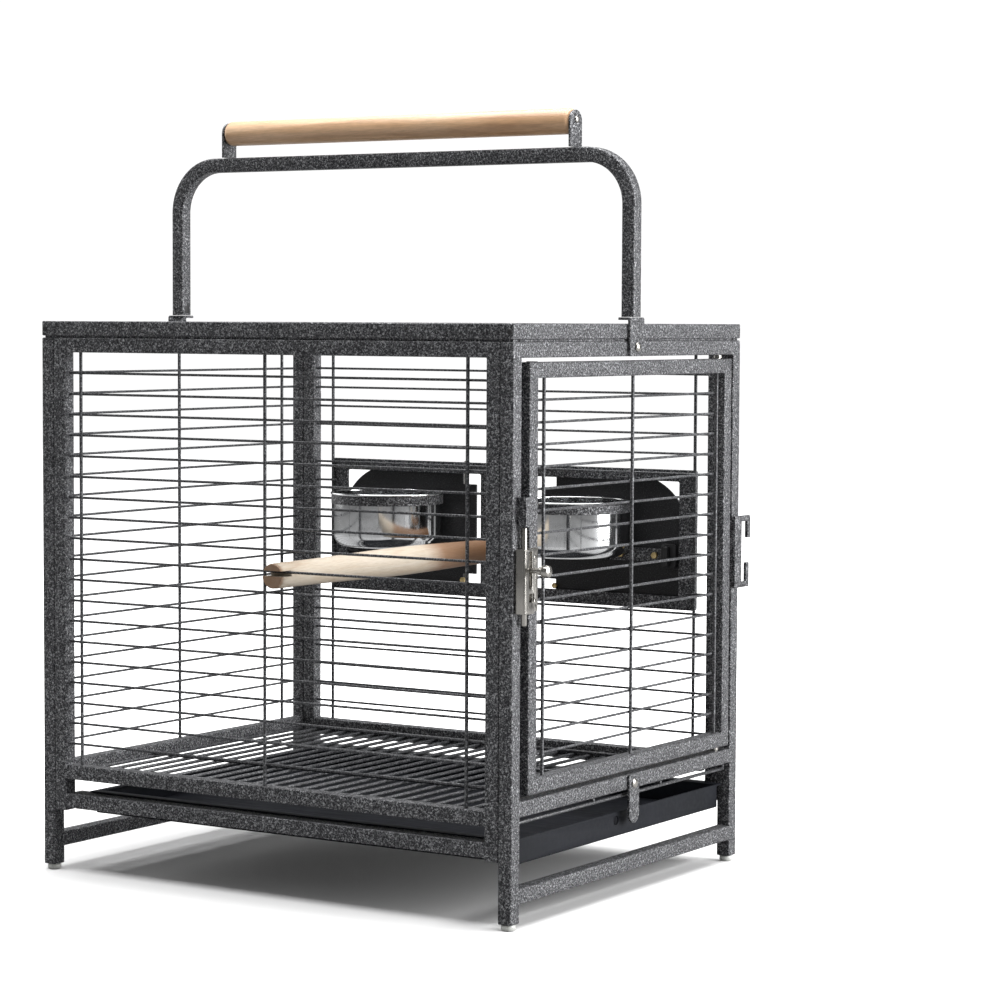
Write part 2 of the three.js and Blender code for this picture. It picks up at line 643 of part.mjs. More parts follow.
// ---- feeders: a window frame, a swing-out hatch, and a ring on it that holds a lift-out bowl ----
const HATCH_IN = -54.5;
const HATCH_OUT = 85;
const HATCH_Z = 226;
const HATCH_TOP = 340;
const HATCH_CORNER_R = 57;
const TONGUE_IN = -69;
const TONGUE_Z = 241;
const TONGUE_TOP = 325;
const KNUCKLE_LENGTH = 14;
const RISER_HALF = 10;
const NUT_R = 3.2;
const BUTTON_HALF = 7.8;
const BUTTON_REACH = 11;
const BUTTON_CLIP = 4;

function feeder(tag, side) {
  const at = (x) => side * (FEEDER_X + x);
  const swingX = at(SWING_X);
  const boreR = SWING_R + GAP;

  const opening = frameShape(
    [at(0) - FEEDER_HALF, at(0) + FEEDER_HALF, FEEDER_Z, FEEDER_TOP],
    [at(0) - WINDOW_HALF, at(0) + WINDOW_HALF, WINDOW_Z, WINDOW_TOP],
  );
  const lugs = [[FEEDER_Z, HATCH_Z - 2 * GAP], [HATCH_TOP + 2 * GAP, FEEDER_TOP]].map(([z0, z1]) => block(
    swingX - KNUCKLE_R, swingX + KNUCKLE_R, FEEDER_FRONT + 1, SWING_Y + KNUCKLE_R, z0, z1,
  ));
  piece(`feeder_frame_${tag}`, cut(
    join(facingY(opening, FEEDER_FRONT, FEEDER_FRONT + FEEDER_THICK), ...lugs),
    rodZ(boreR, swingX, SWING_Y, FEEDER_Z - 1, FEEDER_TOP + 1),
  ), hammertone);
  piece(`feeder_pivot_${tag}`, rodZ(SWING_R, swingX, SWING_Y, FEEDER_Z - 1, FEEDER_TOP + 1), nickel);

  // the hatch plate has a hinge tongue on the inner side and a large round outer top corner
  const outline = new THREE.Shape();
  outline.moveTo(at(HATCH_IN), HATCH_Z);
  outline.lineTo(at(HATCH_OUT), HATCH_Z);
  outline.lineTo(at(HATCH_OUT), HATCH_TOP - HATCH_CORNER_R);
  outline.absarc(
    at(HATCH_OUT - HATCH_CORNER_R), HATCH_TOP - HATCH_CORNER_R, HATCH_CORNER_R,
    side > 0 ? 0 : Math.PI, Math.PI / 2, side < 0,
  );
  outline.lineTo(at(HATCH_IN), HATCH_TOP);
  outline.lineTo(at(HATCH_IN), TONGUE_TOP);
  outline.lineTo(at(TONGUE_IN), TONGUE_TOP);
  outline.lineTo(at(TONGUE_IN), TONGUE_Z);
  outline.lineTo(at(HATCH_IN), TONGUE_Z);
  const knuckles = [TONGUE_Z + 2, TONGUE_TOP - 2 - KNUCKLE_LENGTH].map((z) => (
    rodZ(KNUCKLE_R, swingX, SWING_Y, z, z + KNUCKLE_LENGTH)
  ));
  piece(`feeder_hatch_${tag}`, cut(
    join(facingY(outline, HATCH_Y, HATCH_Y + HATCH_THICK), ...knuckles),
    rodZ(boreR, swingX, SWING_Y, TONGUE_Z - 1, TONGUE_TOP + 1),
  ), hammertone);

  // the ring hangs on a strap bolted flat to the hatch
  const cupX = at(CUP_X);
  const strapBack = HATCH_Y - GAP;
  const strapFront = strapBack - 2;
  piece(`cup_ring_${tag}`, join(
    turned([
      [RING_IN, RING_Z], [RING_OUT, RING_Z], [RING_OUT, RING_TOP], [RING_IN, RING_TOP], [RING_IN, RING_Z],
    ], cupX, CUP_Y, 32),
    block(cupX - RISER_HALF, cupX + RISER_HALF, strapFront, strapBack, STRAP_Z - STRAP_HALF, RING_TOP),
    block(cupX, at(60), strapFront, strapBack, STRAP_Z - STRAP_HALF, STRAP_Z + STRAP_HALF),
  ), hammertone);
  STRAP_BOLTS.forEach((x, i) => {
    const nut = rodY(NUT_R, at(x), strapFront - GAP, strapFront - GAP - 3, STRAP_Z, 6);
    piece(`ring_nut_${tag}${i + 1}`, nut, brass);
  });

  // the turn button: upright it clears the window, level it reaches behind the outer band
  const wingBack = FEEDER_FRONT - GAP;
  const wingFront = wingBack - 3;
  const buttonX = at(BUTTON_X);
  const wing = polygon([[-1, -1], [1, -1], [1, 1], [-1, 1]].flatMap(([sx, sz]) => {
    const beside = [buttonX + sx * BUTTON_HALF, STRAP_Z + sz * (BUTTON_REACH - BUTTON_CLIP)];
    const above = [buttonX + sx * (BUTTON_HALF - BUTTON_CLIP), STRAP_Z + sz * BUTTON_REACH];
    return sx * sz > 0 ? [beside, above] : [above, beside];
  }));
  piece(`feeder_button_${tag}`, join(
    facingY(wing, wingFront, wingBack),
    rodY(2.6, buttonX, wingBack - OVERLAP, HATCH_Y - GAP, STRAP_Z),
    block(
      buttonX - 2, buttonX + 2, wingFront + OVERLAP, wingFront - 6,
      STRAP_Z - BUTTON_REACH + 2, STRAP_Z + BUTTON_REACH - 2,
    ),
  ), blackPlastic);

  // the bowl hangs in the ring by its lip
  const wall = 1;
  const lip = RING_TOP + GAP;
  piece(`bowl_${tag}`, turned([
    [0, BOWL_BOTTOM], [BOWL_R - 12, BOWL_BOTTOM], [BOWL_R - 6, BOWL_BOTTOM + 1.8],
    [BOWL_R - 1.8, BOWL_BOTTOM + 6], [BOWL_R, BOWL_BOTTOM + 12], [BOWL_R, lip], [BOWL_LIP_R, lip],
    [BOWL_LIP_R, lip + 2], [BOWL_R - wall, lip + 2.3], [BOWL_R - wall, BOWL_BOTTOM + 12],
    [BOWL_R - 2.7, BOWL_BOTTOM + 6.6], [BOWL_R - 6.5, BOWL_BOTTOM + 2.8],
    [BOWL_R - 12.2, BOWL_BOTTOM + wall], [0, BOWL_BOTTOM + wall],
  ], cupX, CUP_Y, 32), stainless);
}
feeder('a', -1);
feeder('b', 1);

// ---- the origin is under the middle of the whole object's box ----
crate.position.x = -(KNOB_REACH - PIVOT_REACH) / 2;
crate.position.y = -(HOOK_REACH + PERCH_FRONT) / 2;

export default crate;
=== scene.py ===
import math
import random

import bmesh
import bpy
from mathutils import Matrix, Vector

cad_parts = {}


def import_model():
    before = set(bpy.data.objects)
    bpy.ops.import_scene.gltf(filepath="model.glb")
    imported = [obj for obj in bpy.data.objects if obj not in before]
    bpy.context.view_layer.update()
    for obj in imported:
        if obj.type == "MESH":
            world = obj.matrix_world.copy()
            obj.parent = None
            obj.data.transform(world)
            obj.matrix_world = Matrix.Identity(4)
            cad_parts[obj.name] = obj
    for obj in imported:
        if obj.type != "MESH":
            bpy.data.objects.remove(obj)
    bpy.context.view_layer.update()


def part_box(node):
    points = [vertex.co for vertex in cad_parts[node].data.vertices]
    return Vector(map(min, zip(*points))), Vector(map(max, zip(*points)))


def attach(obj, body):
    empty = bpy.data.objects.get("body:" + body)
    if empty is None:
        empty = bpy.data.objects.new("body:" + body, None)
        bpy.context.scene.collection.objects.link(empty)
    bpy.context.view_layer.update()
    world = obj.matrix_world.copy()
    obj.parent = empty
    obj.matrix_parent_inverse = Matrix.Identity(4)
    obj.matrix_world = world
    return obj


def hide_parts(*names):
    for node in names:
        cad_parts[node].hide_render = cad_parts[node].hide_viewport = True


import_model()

# Lengths are millimetres measured from the middle of the cage's footprint on the floor.
MM = 0.001
LID_LOW, LID_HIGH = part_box("top_frame")
CENTRE = Vector(((LID_LOW.x + LID_HIGH.x) / 2, (LID_LOW.y + LID_HIGH.y) / 2, 0))
HALF_L = (LID_HIGH.x - LID_LOW.x) / 2 / MM
HALF_D = (LID_HIGH.y - LID_LOW.y) / 2 / MM
TUBE = 12.5
CORNER = 1.3
GAP = 0.3
SIDE_END = HALF_L - TUBE - GAP
SIDE_OPENING = SIDE_END - TUBE
END_OPENING = HALF_D - TUBE
CHANCE = random.Random(7)


def span(node):
    """A node's lowest and highest corners in cage millimetres."""
    low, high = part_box(node)
    return (low - CENTRE) / MM, (high - CENTRE) / MM


PANEL_TOP = span("front_frame")[1].z
RAIL_TOP = PANEL_TOP - TUBE
LID_TOP = LID_HIGH.z / MM


# ---------------------------------------------------------------- materials
class Look:
    """A node material: a Principled shader and the few helpers that feed it."""

    def __init__(self, name, **sockets):
        self.material = bpy.data.materials.new(name)
        self.material.use_nodes = True
        self.tree = self.material.node_tree
        self.shader = self.tree.nodes["Principled BSDF"]
        for socket, value in sockets.items():
            self.shader.inputs[socket.replace("_", " ")].default_value = value
        self.place = self.tree.nodes.new("ShaderNodeTexCoord").outputs["Object"]

    def link(self, source, target):
        self.tree.links.new(source, target)

    def stretch(self, scale):
        node = self.tree.nodes.new("ShaderNodeMapping")
        node.inputs["Scale"].default_value = scale
        self.link(self.place, node.inputs["Vector"])
        return node.outputs["Vector"]

    def noise(self, scale, detail=2, rough=0.5, distortion=0, place=None):
        node = self.tree.nodes.new("ShaderNodeTexNoise")
        node.inputs["Scale"].default_value = scale
        node.inputs["Detail"].default_value = detail
        node.inputs["Roughness"].default_value = rough
        node.inputs["Distortion"].default_value = distortion
        self.link(place or self.place, node.inputs["Vector"])
        return node.outputs["Fac"]

    def ramp(self, value, *stops):
        node = self.tree.nodes.new("ShaderNodeValToRGB")
        points = node.color_ramp.elements
        while len(points) < len(stops):
            points.new(0.5)
        for point, (place, color) in zip(points, stops):
            point.position = place
            point.color = (*color, 1) if len(color) == 3 else (color[0],) * 3 + (1,)
        self.link(value, node.inputs["Fac"])
        return node.outputs["Color"]

    def blend(self, how, amount, first, second):
        node = self.tree.nodes.new("ShaderNodeMixRGB")
        node.blend_type = how
        if isinstance(amount, (int, float)):
            node.inputs["Fac"].default_value = amount
        else:
            self.link(amount, node.inputs["Fac"])
        self.link(first, node.inputs["Color1"])
        self.link(second, node.inputs["Color2"])
        return node.outputs["Color"]

    def color(self, source):
        self.link(source, self.shader.inputs["Base Color"])

    def roughness(self, value, low, high):
        self.link(self.ramp(value, (0.3, (low,)), (0.7, (high,))), self.shader.inputs["Roughness"])

    def bump(self, height, strength, depth):
        node = self.tree.nodes.new("ShaderNodeBump")
        node.inputs["Strength"].default_value = strength
        node.inputs["Distance"].default_value = depth
        self.link(height, node.inputs["Height"])
        self.link(node.outputs["Normal"], self.shader.inputs["Normal"])


def hammertone():
    """Dark grey powder coat that dried in fine pale veins."""
    look = Look("hammertone", Metallic=0.45, Specular_IOR_Level=0.5)
    veins = look.noise(700, detail=3, rough=0.62, distortion=0.8)
    broad = look.noise(60, detail=2)
    flecks = look.ramp(
        veins, (0.40, (0.014, 0.014, 0.017)), (0.50, (0.058, 0.059, 0.064)),
        (0.57, (0.17, 0.172, 0.18)), (0.65, (0.46, 0.465, 0.48)),
    )
    shade = look.ramp(broad, (0.3, (0.82,)), (0.7, (1.0,)))
    look.color(look.blend("MULTIPLY", 1, flecks, shade))
    look.roughness(veins, 0.50, 0.34)
    look.bump(veins, 0.8, 0.0009)
    return look.material


def wire_coat():
    """The same paint on thin wire, where it lies smoother and darker."""
    look = Look("wire_coat", Metallic=0.3, Specular_IOR_Level=0.5)
    veins = look.noise(700, detail=2, rough=0.55)
    look.color(look.ramp(
        veins, (0.36, (0.020, 0.020, 0.023)), (0.52, (0.055, 0.056, 0.060)), (0.68, (0.20, 0.205, 0.215)),
    ))
    look.roughness(veins, 0.5, 0.38)
    look.bump(veins, 0.25, 0.0003)
    return look.material


def sheet_coat():
    """Smooth blue-black paint on rolled sheet, with faint scuffs."""
    look = Look("sheet_coat", Specular_IOR_Level=0.12)
    cloud = look.noise(14, detail=4, rough=0.6)
    scuffs = look.noise(220, detail=4, rough=0.7, place=look.stretch((0.12, 1, 1)))
    look.color(look.ramp(cloud, (0.3, (0.005, 0.006, 0.008)), (0.7, (0.011, 0.012, 0.016))))
    look.roughness(scuffs, 0.42, 0.58)
    look.bump(cloud, 0.2, 0.002)
    return look.material


def feeder_shade_coat():
    """The feeder plates' coat: the tubes' paint darkened to near black as painted shade, and flatter than the
    tubes.
    """
    look = Look("feeder_shade_coat", Metallic=0.2, Specular_IOR_Level=0.45)
    veins = look.noise(900, detail=3, rough=0.6)
    # Near-black tones: painted shade over the hammertone.
    look.color(look.ramp(
        veins, (0.36, (0.007, 0.007, 0.008)), (0.55, (0.018, 0.018, 0.020)), (0.74, (0.07, 0.07, 0.074)),
    ))
    look.roughness(veins, 0.58, 0.42)
    look.bump(veins, 0.4, 0.0004)
    return look.material


def plated(name, tint, low, high, lines):
    """Bright plated or polished metal with fine rubbing lines."""
    look = Look(name, Metallic=1.0)
    cloud = look.noise(90, detail=3)
    rub = look.noise(900, detail=2, place=look.stretch(lines))
    look.color(look.ramp(cloud, (0.3, [v * 0.86 for v in tint]), (0.7, tint)))
    look.roughness(rub, low, high)
    look.bump(rub, 0.06, 0.0002)
    return look.material


def moulded(name, dark, light, low, high, **sockets):
    """Moulded plastic with a fine grain."""
    look = Look(name, **sockets)
    grain = look.noise(1600, detail=2)
    cloud = look.noise(120, detail=2)
    look.color(look.ramp(cloud, (0.3, dark), (0.7, light)))
    look.roughness(grain, low, high)
    look.bump(grain, 0.15, 0.0002)
    return look.material


def grip_wood():
    """Stained, lacquered handle wood; the grain runs along X."""
    look = Look("grip_wood", Coat_Weight=0.25, Coat_Roughness=0.25)
    along = look.stretch((4, 60, 60))
    rings = look.noise(1.6, detail=5, rough=0.62, distortion=0.8, place=along)
    fine = look.noise(9, detail=3, rough=0.7, place=look.stretch((10, 160, 160)))
    blush = look.noise(7, detail=2)
    tone = look.ramp(
        rings, (0.28, (0.45, 0.26, 0.145)), (0.46, (0.68, 0.44, 0.26)), (0.66, (0.82, 0.57, 0.37)),
    )
    streak = look.ramp(fine, (0.34, (0.74,)), (0.60, (1.0,)))
    warm = look.ramp(blush, (0.3, (0.92, 0.84, 0.76)), (0.7, (1.0, 1.0, 1.0)))
    look.color(look.blend("MULTIPLY", 1, look.blend("MULTIPLY", 0.8, tone, streak), warm))
    look.roughness(fine, 0.48, 0.34)
    look.bump(fine, 0.18, 0.0004)
    return look.material


def perch_wood(ends):
    """Bare pale perch wood; the grain runs along Y. The near end face is browner, and the far part is browner
    as painted shade.
    """
    look = Look("perch_wood")
    figure = look.noise(1.5, detail=5, rough=0.6, distortion=1.2, place=look.stretch((55, 6, 55)))
    fine = look.noise(8, detail=3, rough=0.7, place=look.stretch((170, 10, 170)))
    tone = look.ramp(
        figure, (0.28, (0.33, 0.235, 0.165)), (0.42, (0.41, 0.34, 0.26)), (0.62, (0.45, 0.395, 0.325)),
    )
    streak = look.ramp(fine, (0.32, (0.78,)), (0.60, (1.0,)))
    pale = look.blend("MULTIPLY", 0.7, tone, streak)
    # A brown for the near end face and for painted shade over the far part of the dowel.
    end_and_shade_brown = look.tree.nodes.new("ShaderNodeRGB").outputs[0]
    end_and_shade_brown.default_value = (0.17, 0.075, 0.026, 1)
    split = look.tree.nodes.new("ShaderNodeSeparateXYZ")
    look.link(look.place, split.inputs[0])
    reach = look.tree.nodes.new("ShaderNodeMapRange")
    reach.inputs["From Min"].default_value = ends[0]
    reach.inputs["From Max"].default_value = ends[1]
    look.link(split.outputs["Y"], reach.inputs["Value"])
    # Browner at the near end face; from 0.56 of the length to the far end, painted shade.
    end_and_shade_mask = look.ramp(
        reach.outputs["Result"], (0.0, (0.75,)), (0.004, (0.6,)), (0.010, (0.0,)),
        (0.56, (0.0,)), (0.64, (0.85,)), (1.0, (1.0,)),
    )
    end_and_shade_tone = look.blend("MULTIPLY", 0.45, end_and_shade_brown, streak)
    look.color(look.blend("MIX", end_and_shade_mask, pale, end_and_shade_tone))
    look.roughness(fine, 0.72, 0.55)
    look.bump(fine, 0.25, 0.0005)
    return look.material


PERCH_LOW, PERCH_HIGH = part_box("perch")
LOOKS = {
    "hammertone_paint": hammertone(),
    "wire_paint": wire_coat(),
    "tray_paint": sheet_coat(),
    "feeder_shaded_paint": feeder_shade_coat(),
    "nickel": plated("nickel", (0.42, 0.405, 0.38), 0.16, 0.30, (1, 1, 0.15)),
    "stainless": plated("stainless", (0.80, 0.81, 0.82), 0.06, 0.14, (1, 1, 0.1)),
    "brass_nut": plated("brass", (0.72, 0.55, 0.27), 0.25, 0.4, (1, 1, 1)),
    "black_plastic": moulded("black_plastic", (0.008, 0.008, 0.009), (0.014, 0.014, 0.015), 0.42, 0.55),
    "glide_plastic": moulded(
        "glide_plastic", (0.62, 0.63, 0.60), (0.76, 0.77, 0.74), 0.25, 0.4, Transmission_Weight=0.25,
    ),
    "grip_wood": grip_wood(),
    "perch_wood": perch_wood((PERCH_LOW.y, PERCH_HIGH.y)),
}


# ---------------------------------------------------------------- mesh helpers
def bevel_edges(work, edges, width, segments):
    if edges:
        bmesh.ops.bevel(
            work, geom=edges, offset=width, segments=segments, profile=0.6,
            affect="EDGES", clamp_overlap=True,
        )


def absorb(target, work, turn=None):
    """Moves a finished small bmesh into the piece's bmesh."""
    if turn is not None:
        bmesh.ops.transform(work, matrix=turn, verts=work.verts)
    scratch = bpy.data.meshes.new("scratch")
    work.to_mesh(scratch)
    work.free()
    target.from_mesh(scratch)
    bpy.data.meshes.remove(scratch)


def bar(target, x, y, z, corner=CORNER, segments=3, along=None):
    """A box between x, y and z pairs; its edges are rounded, or only those along one axis."""
    work = bmesh.new()
    bmesh.ops.create_cube(work, size=1)
    size = [abs(pair[1] - pair[0]) for pair in (x, y, z)]
    middle = [(pair[0] + pair[1]) / 2 for pair in (x, y, z)]
    for vert in work.verts:
        vert.co = Vector([middle[i] + vert.co[i] * size[i] for i in range(3)])
    edges = work.edges[:]
    if along is not None:
        axis = "xyz".index(along)
        edges = [e for e in edges if abs((e.verts[0].co - e.verts[1].co)[axis]) > size[axis] / 2]
    bevel_edges(work, edges, corner, segments)
    absorb(target, work)


def turned(target, profile, middle=(0, 0, 0), axis="z", steps=48):
    """A closed [radius, height] profile turned about an axis."""
    work = bmesh.new()
    columns = []
    for step in range(steps):
        angle = 2 * math.pi * step / steps
        columns.append([
            work.verts.new((radius * math.cos(angle), radius * math.sin(angle), height))
            for radius, height in profile
        ])
    for step in range(steps):
        here, there = columns[step], columns[(step + 1) % steps]
        for i in range(len(profile) - 1):
            work.faces.new((here[i], there[i], there[i + 1], here[i + 1]))
    bmesh.ops.remove_doubles(work, verts=work.verts, dist=1e-5)
    bmesh.ops.recalc_face_normals(work, faces=work.faces)
    lay = {
        "z": Matrix(),
        "x": Matrix.Rotation(math.pi / 2, 4, "Y"),
        "y": Matrix.Rotation(-math.pi / 2, 4, "X"),
    }
    absorb(target, work, Matrix.Translation(middle) @ lay[axis])


def rod(target, radius, start, end, sides=10, round_end=0.0):
    """A straight round rod; round_end is the width of the rounding at each end."""
    start, end = Vector(start), Vector(end)
    length = (end - start).length
    if round_end:
        bulge = (radius - 0.3 * round_end, 0.3 * round_end)
        profile = [(0, 0), (radius - round_end, 0), bulge, (radius, round_end)]
    else:
        profile = [(0, 0), (radius, 0)]
    far = [(r, length - h) for r, h in reversed(profile)]
    work = bmesh.new()
    turned(work, profile + far, steps=sides)
    turn = (end - start).to_track_quat("Z", "Y").to_matrix().to_4x4()
    absorb(target, work, Matrix.Translation(start) @ turn)


def plate(target, loops, low, high, facing, corner=0.35):
    """Flat sheet cut to outlines (the first is the edge, the rest are holes), facing the x or y axis."""
    curve = bpy.data.curves.new("outline", "CURVE")
    curve.dimensions = "2D"
    curve.fill_mode = "BOTH"
    curve.extrude = (high - low) / 2
    for loop in loops:
        spline = curve.splines.new("POLY")
        spline.points.add(len(loop) - 1)
        for point, (a, b) in zip(spline.points, loop):
            point.co = (a, b, 0, 1)
        spline.use_cyclic_u = True
    holder = bpy.data.objects.new("outline", curve)
    bpy.context.collection.objects.link(holder)
    bpy.context.view_layer.update()
    graph = bpy.context.evaluated_depsgraph_get()
    flat = bpy.data.meshes.new_from_object(holder.evaluated_get(graph))
    work = bmesh.new()
    work.from_mesh(flat)
    bpy.data.objects.remove(holder)
    bpy.data.curves.remove(curve)
    bpy.data.meshes.remove(flat)
    bmesh.ops.remove_doubles(work, verts=work.verts, dist=1e-4)
    bmesh.ops.dissolve_limit(work, angle_limit=0.02, verts=work.verts, edges=work.edges)
    sharp = [e for e in work.edges if len(e.link_faces) == 2 and e.calc_face_angle() > 1.2]
    bevel_edges(work, sharp, corner, 2)
    middle = (low + high) / 2
    if facing == "y":
        turn = Matrix(((1, 0, 0, 0), (0, 0, 1, middle), (0, 1, 0, 0), (0, 0, 0, 1)))
    else:
        turn = Matrix(((0, 0, 1, middle), (1, 0, 0, 0), (0, 1, 0, 0), (0, 0, 0, 1)))
    bmesh.ops.transform(work, matrix=turn, verts=work.verts)
    bmesh.ops.recalc_face_normals(work, faces=work.faces)
    absorb(target, work)


def arc(middle, radius, start, end, steps=16):
    """Points along a circular arc; angles are in degrees."""
    turns = [math.radians(start + (end - start) * i / steps) for i in range(steps + 1)]
    return [(middle[0] + radius * math.cos(t), middle[1] + radius * math.sin(t)) for t in turns]


def rounded(a, b, radius, steps=4):
    """A rectangle outline with round corners."""
    (a0, a1), (b0, b1) = sorted(a), sorted(b)
    corners = ((a1, b1, 0), (a0, b1, 90), (a0, b0, 180), (a1, b0, 270))
    points = []
    for x, y, start in corners:
        inward = (x - radius if x == a1 else x + radius, y - radius if y == b1 else y + radius)
        points += arc(inward, radius, start, start + 90, steps)
    return points


def piece(name, slot, body, build, replaces=(), look=None, smooth=35):
    """Makes one object from build(bmesh), in metres, riding on its body."""
    work = bmesh.new()
    build(work)
    for vert in work.verts:
        vert.co = vert.co * MM + CENTRE
    mesh = bpy.data.meshes.new(name)
    work.to_mesh(mesh)
    work.free()
    mesh.set_sharp_from_angle(angle=math.radians(smooth))
    mesh.materials.append(LOOKS[look or slot])
    made = bpy.data.objects.new(name, mesh)
    bpy.context.collection.objects.link(made)
    for polygon in mesh.polygons:
        polygon.use_smooth = True
    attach(made, body)
    if replaces:
        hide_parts(*replaces)
    return made


# ---------------------------------------------------------------- welded tube panels
SIDE_RAILS = (81, 56)
STILE_BOTTOM = span("front_frame")[0].z
FOOT_TOP = span("left_frame")[0].z
BRACE = 19.8
END_RAILS = {"left": 81, "right": 88.7}
WELD = 0.25


def weld_bead(work, start, end):
    """A low fillet of weld where one tube butts on another."""
    rod(work, 0.7, start, end, sides=6)


def side_panel(side):
    faces = sorted((side * HALF_D, side * END_OPENING))

    def build(work):
        for sign in (-1, 1):
            stile = sorted((sign * SIDE_END, sign * SIDE_OPENING))
            bar(work, stile, faces, (STILE_BOTTOM, PANEL_TOP))
        inside = (-SIDE_OPENING - CORNER, SIDE_OPENING + CORNER)
        for low in (RAIL_TOP,) + SIDE_RAILS:
            bar(work, inside, faces, (low, low + TUBE), along="x")
            for sign in (-1, 1):
                for edge in (low, low + TUBE):
                    corner = (sign * SIDE_OPENING, side * (HALF_D - CORNER), edge)
                    weld_bead(work, corner, (corner[0], side * (END_OPENING + CORNER), edge))
        edge = side * (END_OPENING - 8)
        for top in (81.7, 68.5):
            ledge = sorted((side * (END_OPENING + 0.5), edge))
            bar(work, (-SIDE_OPENING, SIDE_OPENING), ledge, (top - 2.2, top), corner=0.6, segments=2)
    return build


def end_panel(name, sign):
    faces = sorted((sign * HALF_L, sign * (HALF_L - TUBE)))

    def build(work):
        for side in (-1, 1):
            post = sorted((side * HALF_D, side * END_OPENING))
            bar(work, faces, post, (FOOT_TOP, PANEL_TOP))
        inside = (-END_OPENING - CORNER, END_OPENING + CORNER)
        for low in (RAIL_TOP, END_RAILS[name], BRACE):
            bar(work, faces, inside, (low, low + TUBE), along="y")
            for side in (-1, 1):
                for edge in (low, low + TUBE):
                    start = (sign * (HALF_L - CORNER), side * END_OPENING, edge)
                    weld_bead(work, start, (sign * (HALF_L - TUBE + CORNER), start[1], edge))
        if name == "right":
            low, high = END_RAILS["right"] + TUBE, RAIL_TOP
            back = HALF_L - TUBE - GAP
            near = -END_OPENING + GAP
            bar(work, (back - 2, back), (near, near + 17), (low, high), corner=0.4, segments=2)
            bar(work, (back - 2, back + 3.5), (near, near + 2), (low, high), corner=0.4, segments=2)
    return build


piece("front_panel", "hammertone_paint", "cage", side_panel(-1), ["front_frame"])
piece("back_panel", "hammertone_paint", "cage", side_panel(1), ["back_frame"])
piece("left_panel", "hammertone_paint", "cage", end_panel("left", -1), ["left_frame"])
piece("right_panel", "hammertone_paint", "cage", end_panel("right", 1), ["right_frame"])


def lid_panel(work):
    low = LID_TOP - TUBE
    for side in (-1, 1):
        across = sorted((side * HALF_D, side * END_OPENING))
        bar(work, (-HALF_L, HALF_L), across, (low, LID_TOP))
        along = sorted((side * HALF_L, side * (HALF_L - TUBE)))
        bar(work, along, (-END_OPENING - CORNER, END_OPENING + CORNER), (low, LID_TOP), along="y")
        seat = sorted((side * (HALF_D - 2), side * (END_OPENING + 2)))
        bar(work, (-HALF_L + 2, HALF_L - 2), seat, (PANEL_TOP, low + 1), corner=0.3, segments=1)
        seat = sorted((side * (HALF_L - 2), side * (HALF_L - TUBE + 2)))
        bar(work, seat, (-END_OPENING, END_OPENING), (PANEL_TOP, low + 1), corner=0.3, segments=1)


piece("lid_panel", "hammertone_paint", "cage", lid_panel, ["top_frame"])


def door_panel(work):
    low, high = span("door_frame")
    faces = (HALF_L - TUBE, HALF_L)
    for start, end in ((low.y, low.y + TUBE), (high.y - TUBE, high.y)):
        bar(work, faces, (start, end), (low.z, high.z))
    inside = (low.y + TUBE - CORNER, high.y - TUBE + CORNER)
    for z in (low.z, high.z - TUBE):
        bar(work, faces, inside, (z, z + TUBE), along="y")
        for y in (low.y + TUBE, high.y - TUBE):
            for edge in (z, z + TUBE):
                weld_bead(work, (HALF_L - CORNER, y, edge), (HALF_L - TUBE + CORNER, y, edge))


piece("door_panel", "hammertone_paint", "door", door_panel, ["door_frame"])


# ---------------------------------------------------------------- wire
UPRIGHT_R = 1.45
CROSS_R = 1.1
WIRE_INSET = 3.5
TUCK = 0.8
WIRE_PITCH = 17.7


def levels(low, high):
    gaps = round((high - low) / WIRE_PITCH)
    return [low + (i + 1) * (high - low) / gaps for i in range(gaps - 1)]


def wobble(amount=0.25):
    return CHANCE.uniform(-amount, amount)


def wires(uprights, window, crossings, place):
    """Round uprights and the cross wires behind them; place turns (along, height, inward) to a point."""
    def build(work):
        low, high = window
        for along in uprights:
            foot, head = place(along, low - TUCK, UPRIGHT_R), place(along, high + TUCK, UPRIGHT_R)
            rod(work, UPRIGHT_R, foot, head, sides=12)
        inward = 2 * UPRIGHT_R + CROSS_R - WELD
        for height, start, end in crossings:
            first, last = height + wobble(), height + wobble()
            rod(work, CROSS_R, place(start, first, inward), place(end, last, inward))
    return build


SIDE_WINDOW = (SIDE_RAILS[0] + TUBE, RAIL_TOP)
SIDE_LEVELS = levels(*SIDE_WINDOW)
SIDE_REACH = SIDE_OPENING + TUCK
FRONT_FACE = -HALF_D + WIRE_INSET
piece("front_wire", "wire_paint", "cage", wires(
    (-200.6, -4, 194.6), SIDE_WINDOW, [(z, -SIDE_REACH, SIDE_REACH) for z in SIDE_LEVELS],
    lambda along, height, inward: (along, FRONT_FACE + inward, height),
), ["front_wires"])

FEEDER_LOW, FEEDER_HIGH = span("feeder_frame_b")
FEEDER_LAP = 7.5
LAP_IN = FEEDER_LOW.x + FEEDER_LAP
LAP_OUT = FEEDER_HIGH.x - FEEDER_LAP


def back_crossings():
    lines = []
    for z in SIDE_LEVELS:
        if FEEDER_LOW.z + 2 < z < FEEDER_HIGH.z - FEEDER_LAP:
            lines += [(z, -SIDE_REACH, -LAP_OUT), (z, -LAP_IN, LAP_IN), (z, LAP_OUT, SIDE_REACH)]
        else:
            lines.append((z, -SIDE_REACH, SIDE_REACH))
    return lines


BACK_FACE = FEEDER_LOW.y - GAP / 2
piece("back_wire", "wire_paint", "cage", wires(
    (-197.3, -4, 198.3), SIDE_WINDOW, back_crossings(),
    lambda along, height, inward: (along, BACK_FACE - inward, height),
), ["back_wires"])

LEFT_WINDOW = (END_RAILS["left"] + TUBE, RAIL_TOP)
END_REACH = END_OPENING + TUCK
piece("left_wire", "wire_paint", "cage", wires(
    (-166, -5.4, 150.5), LEFT_WINDOW, [(z, -END_REACH, END_REACH) for z in levels(*LEFT_WINDOW)],
    lambda along, height, inward: (-HALF_L + WIRE_INSET + inward, along, height),
), ["left_wires"])

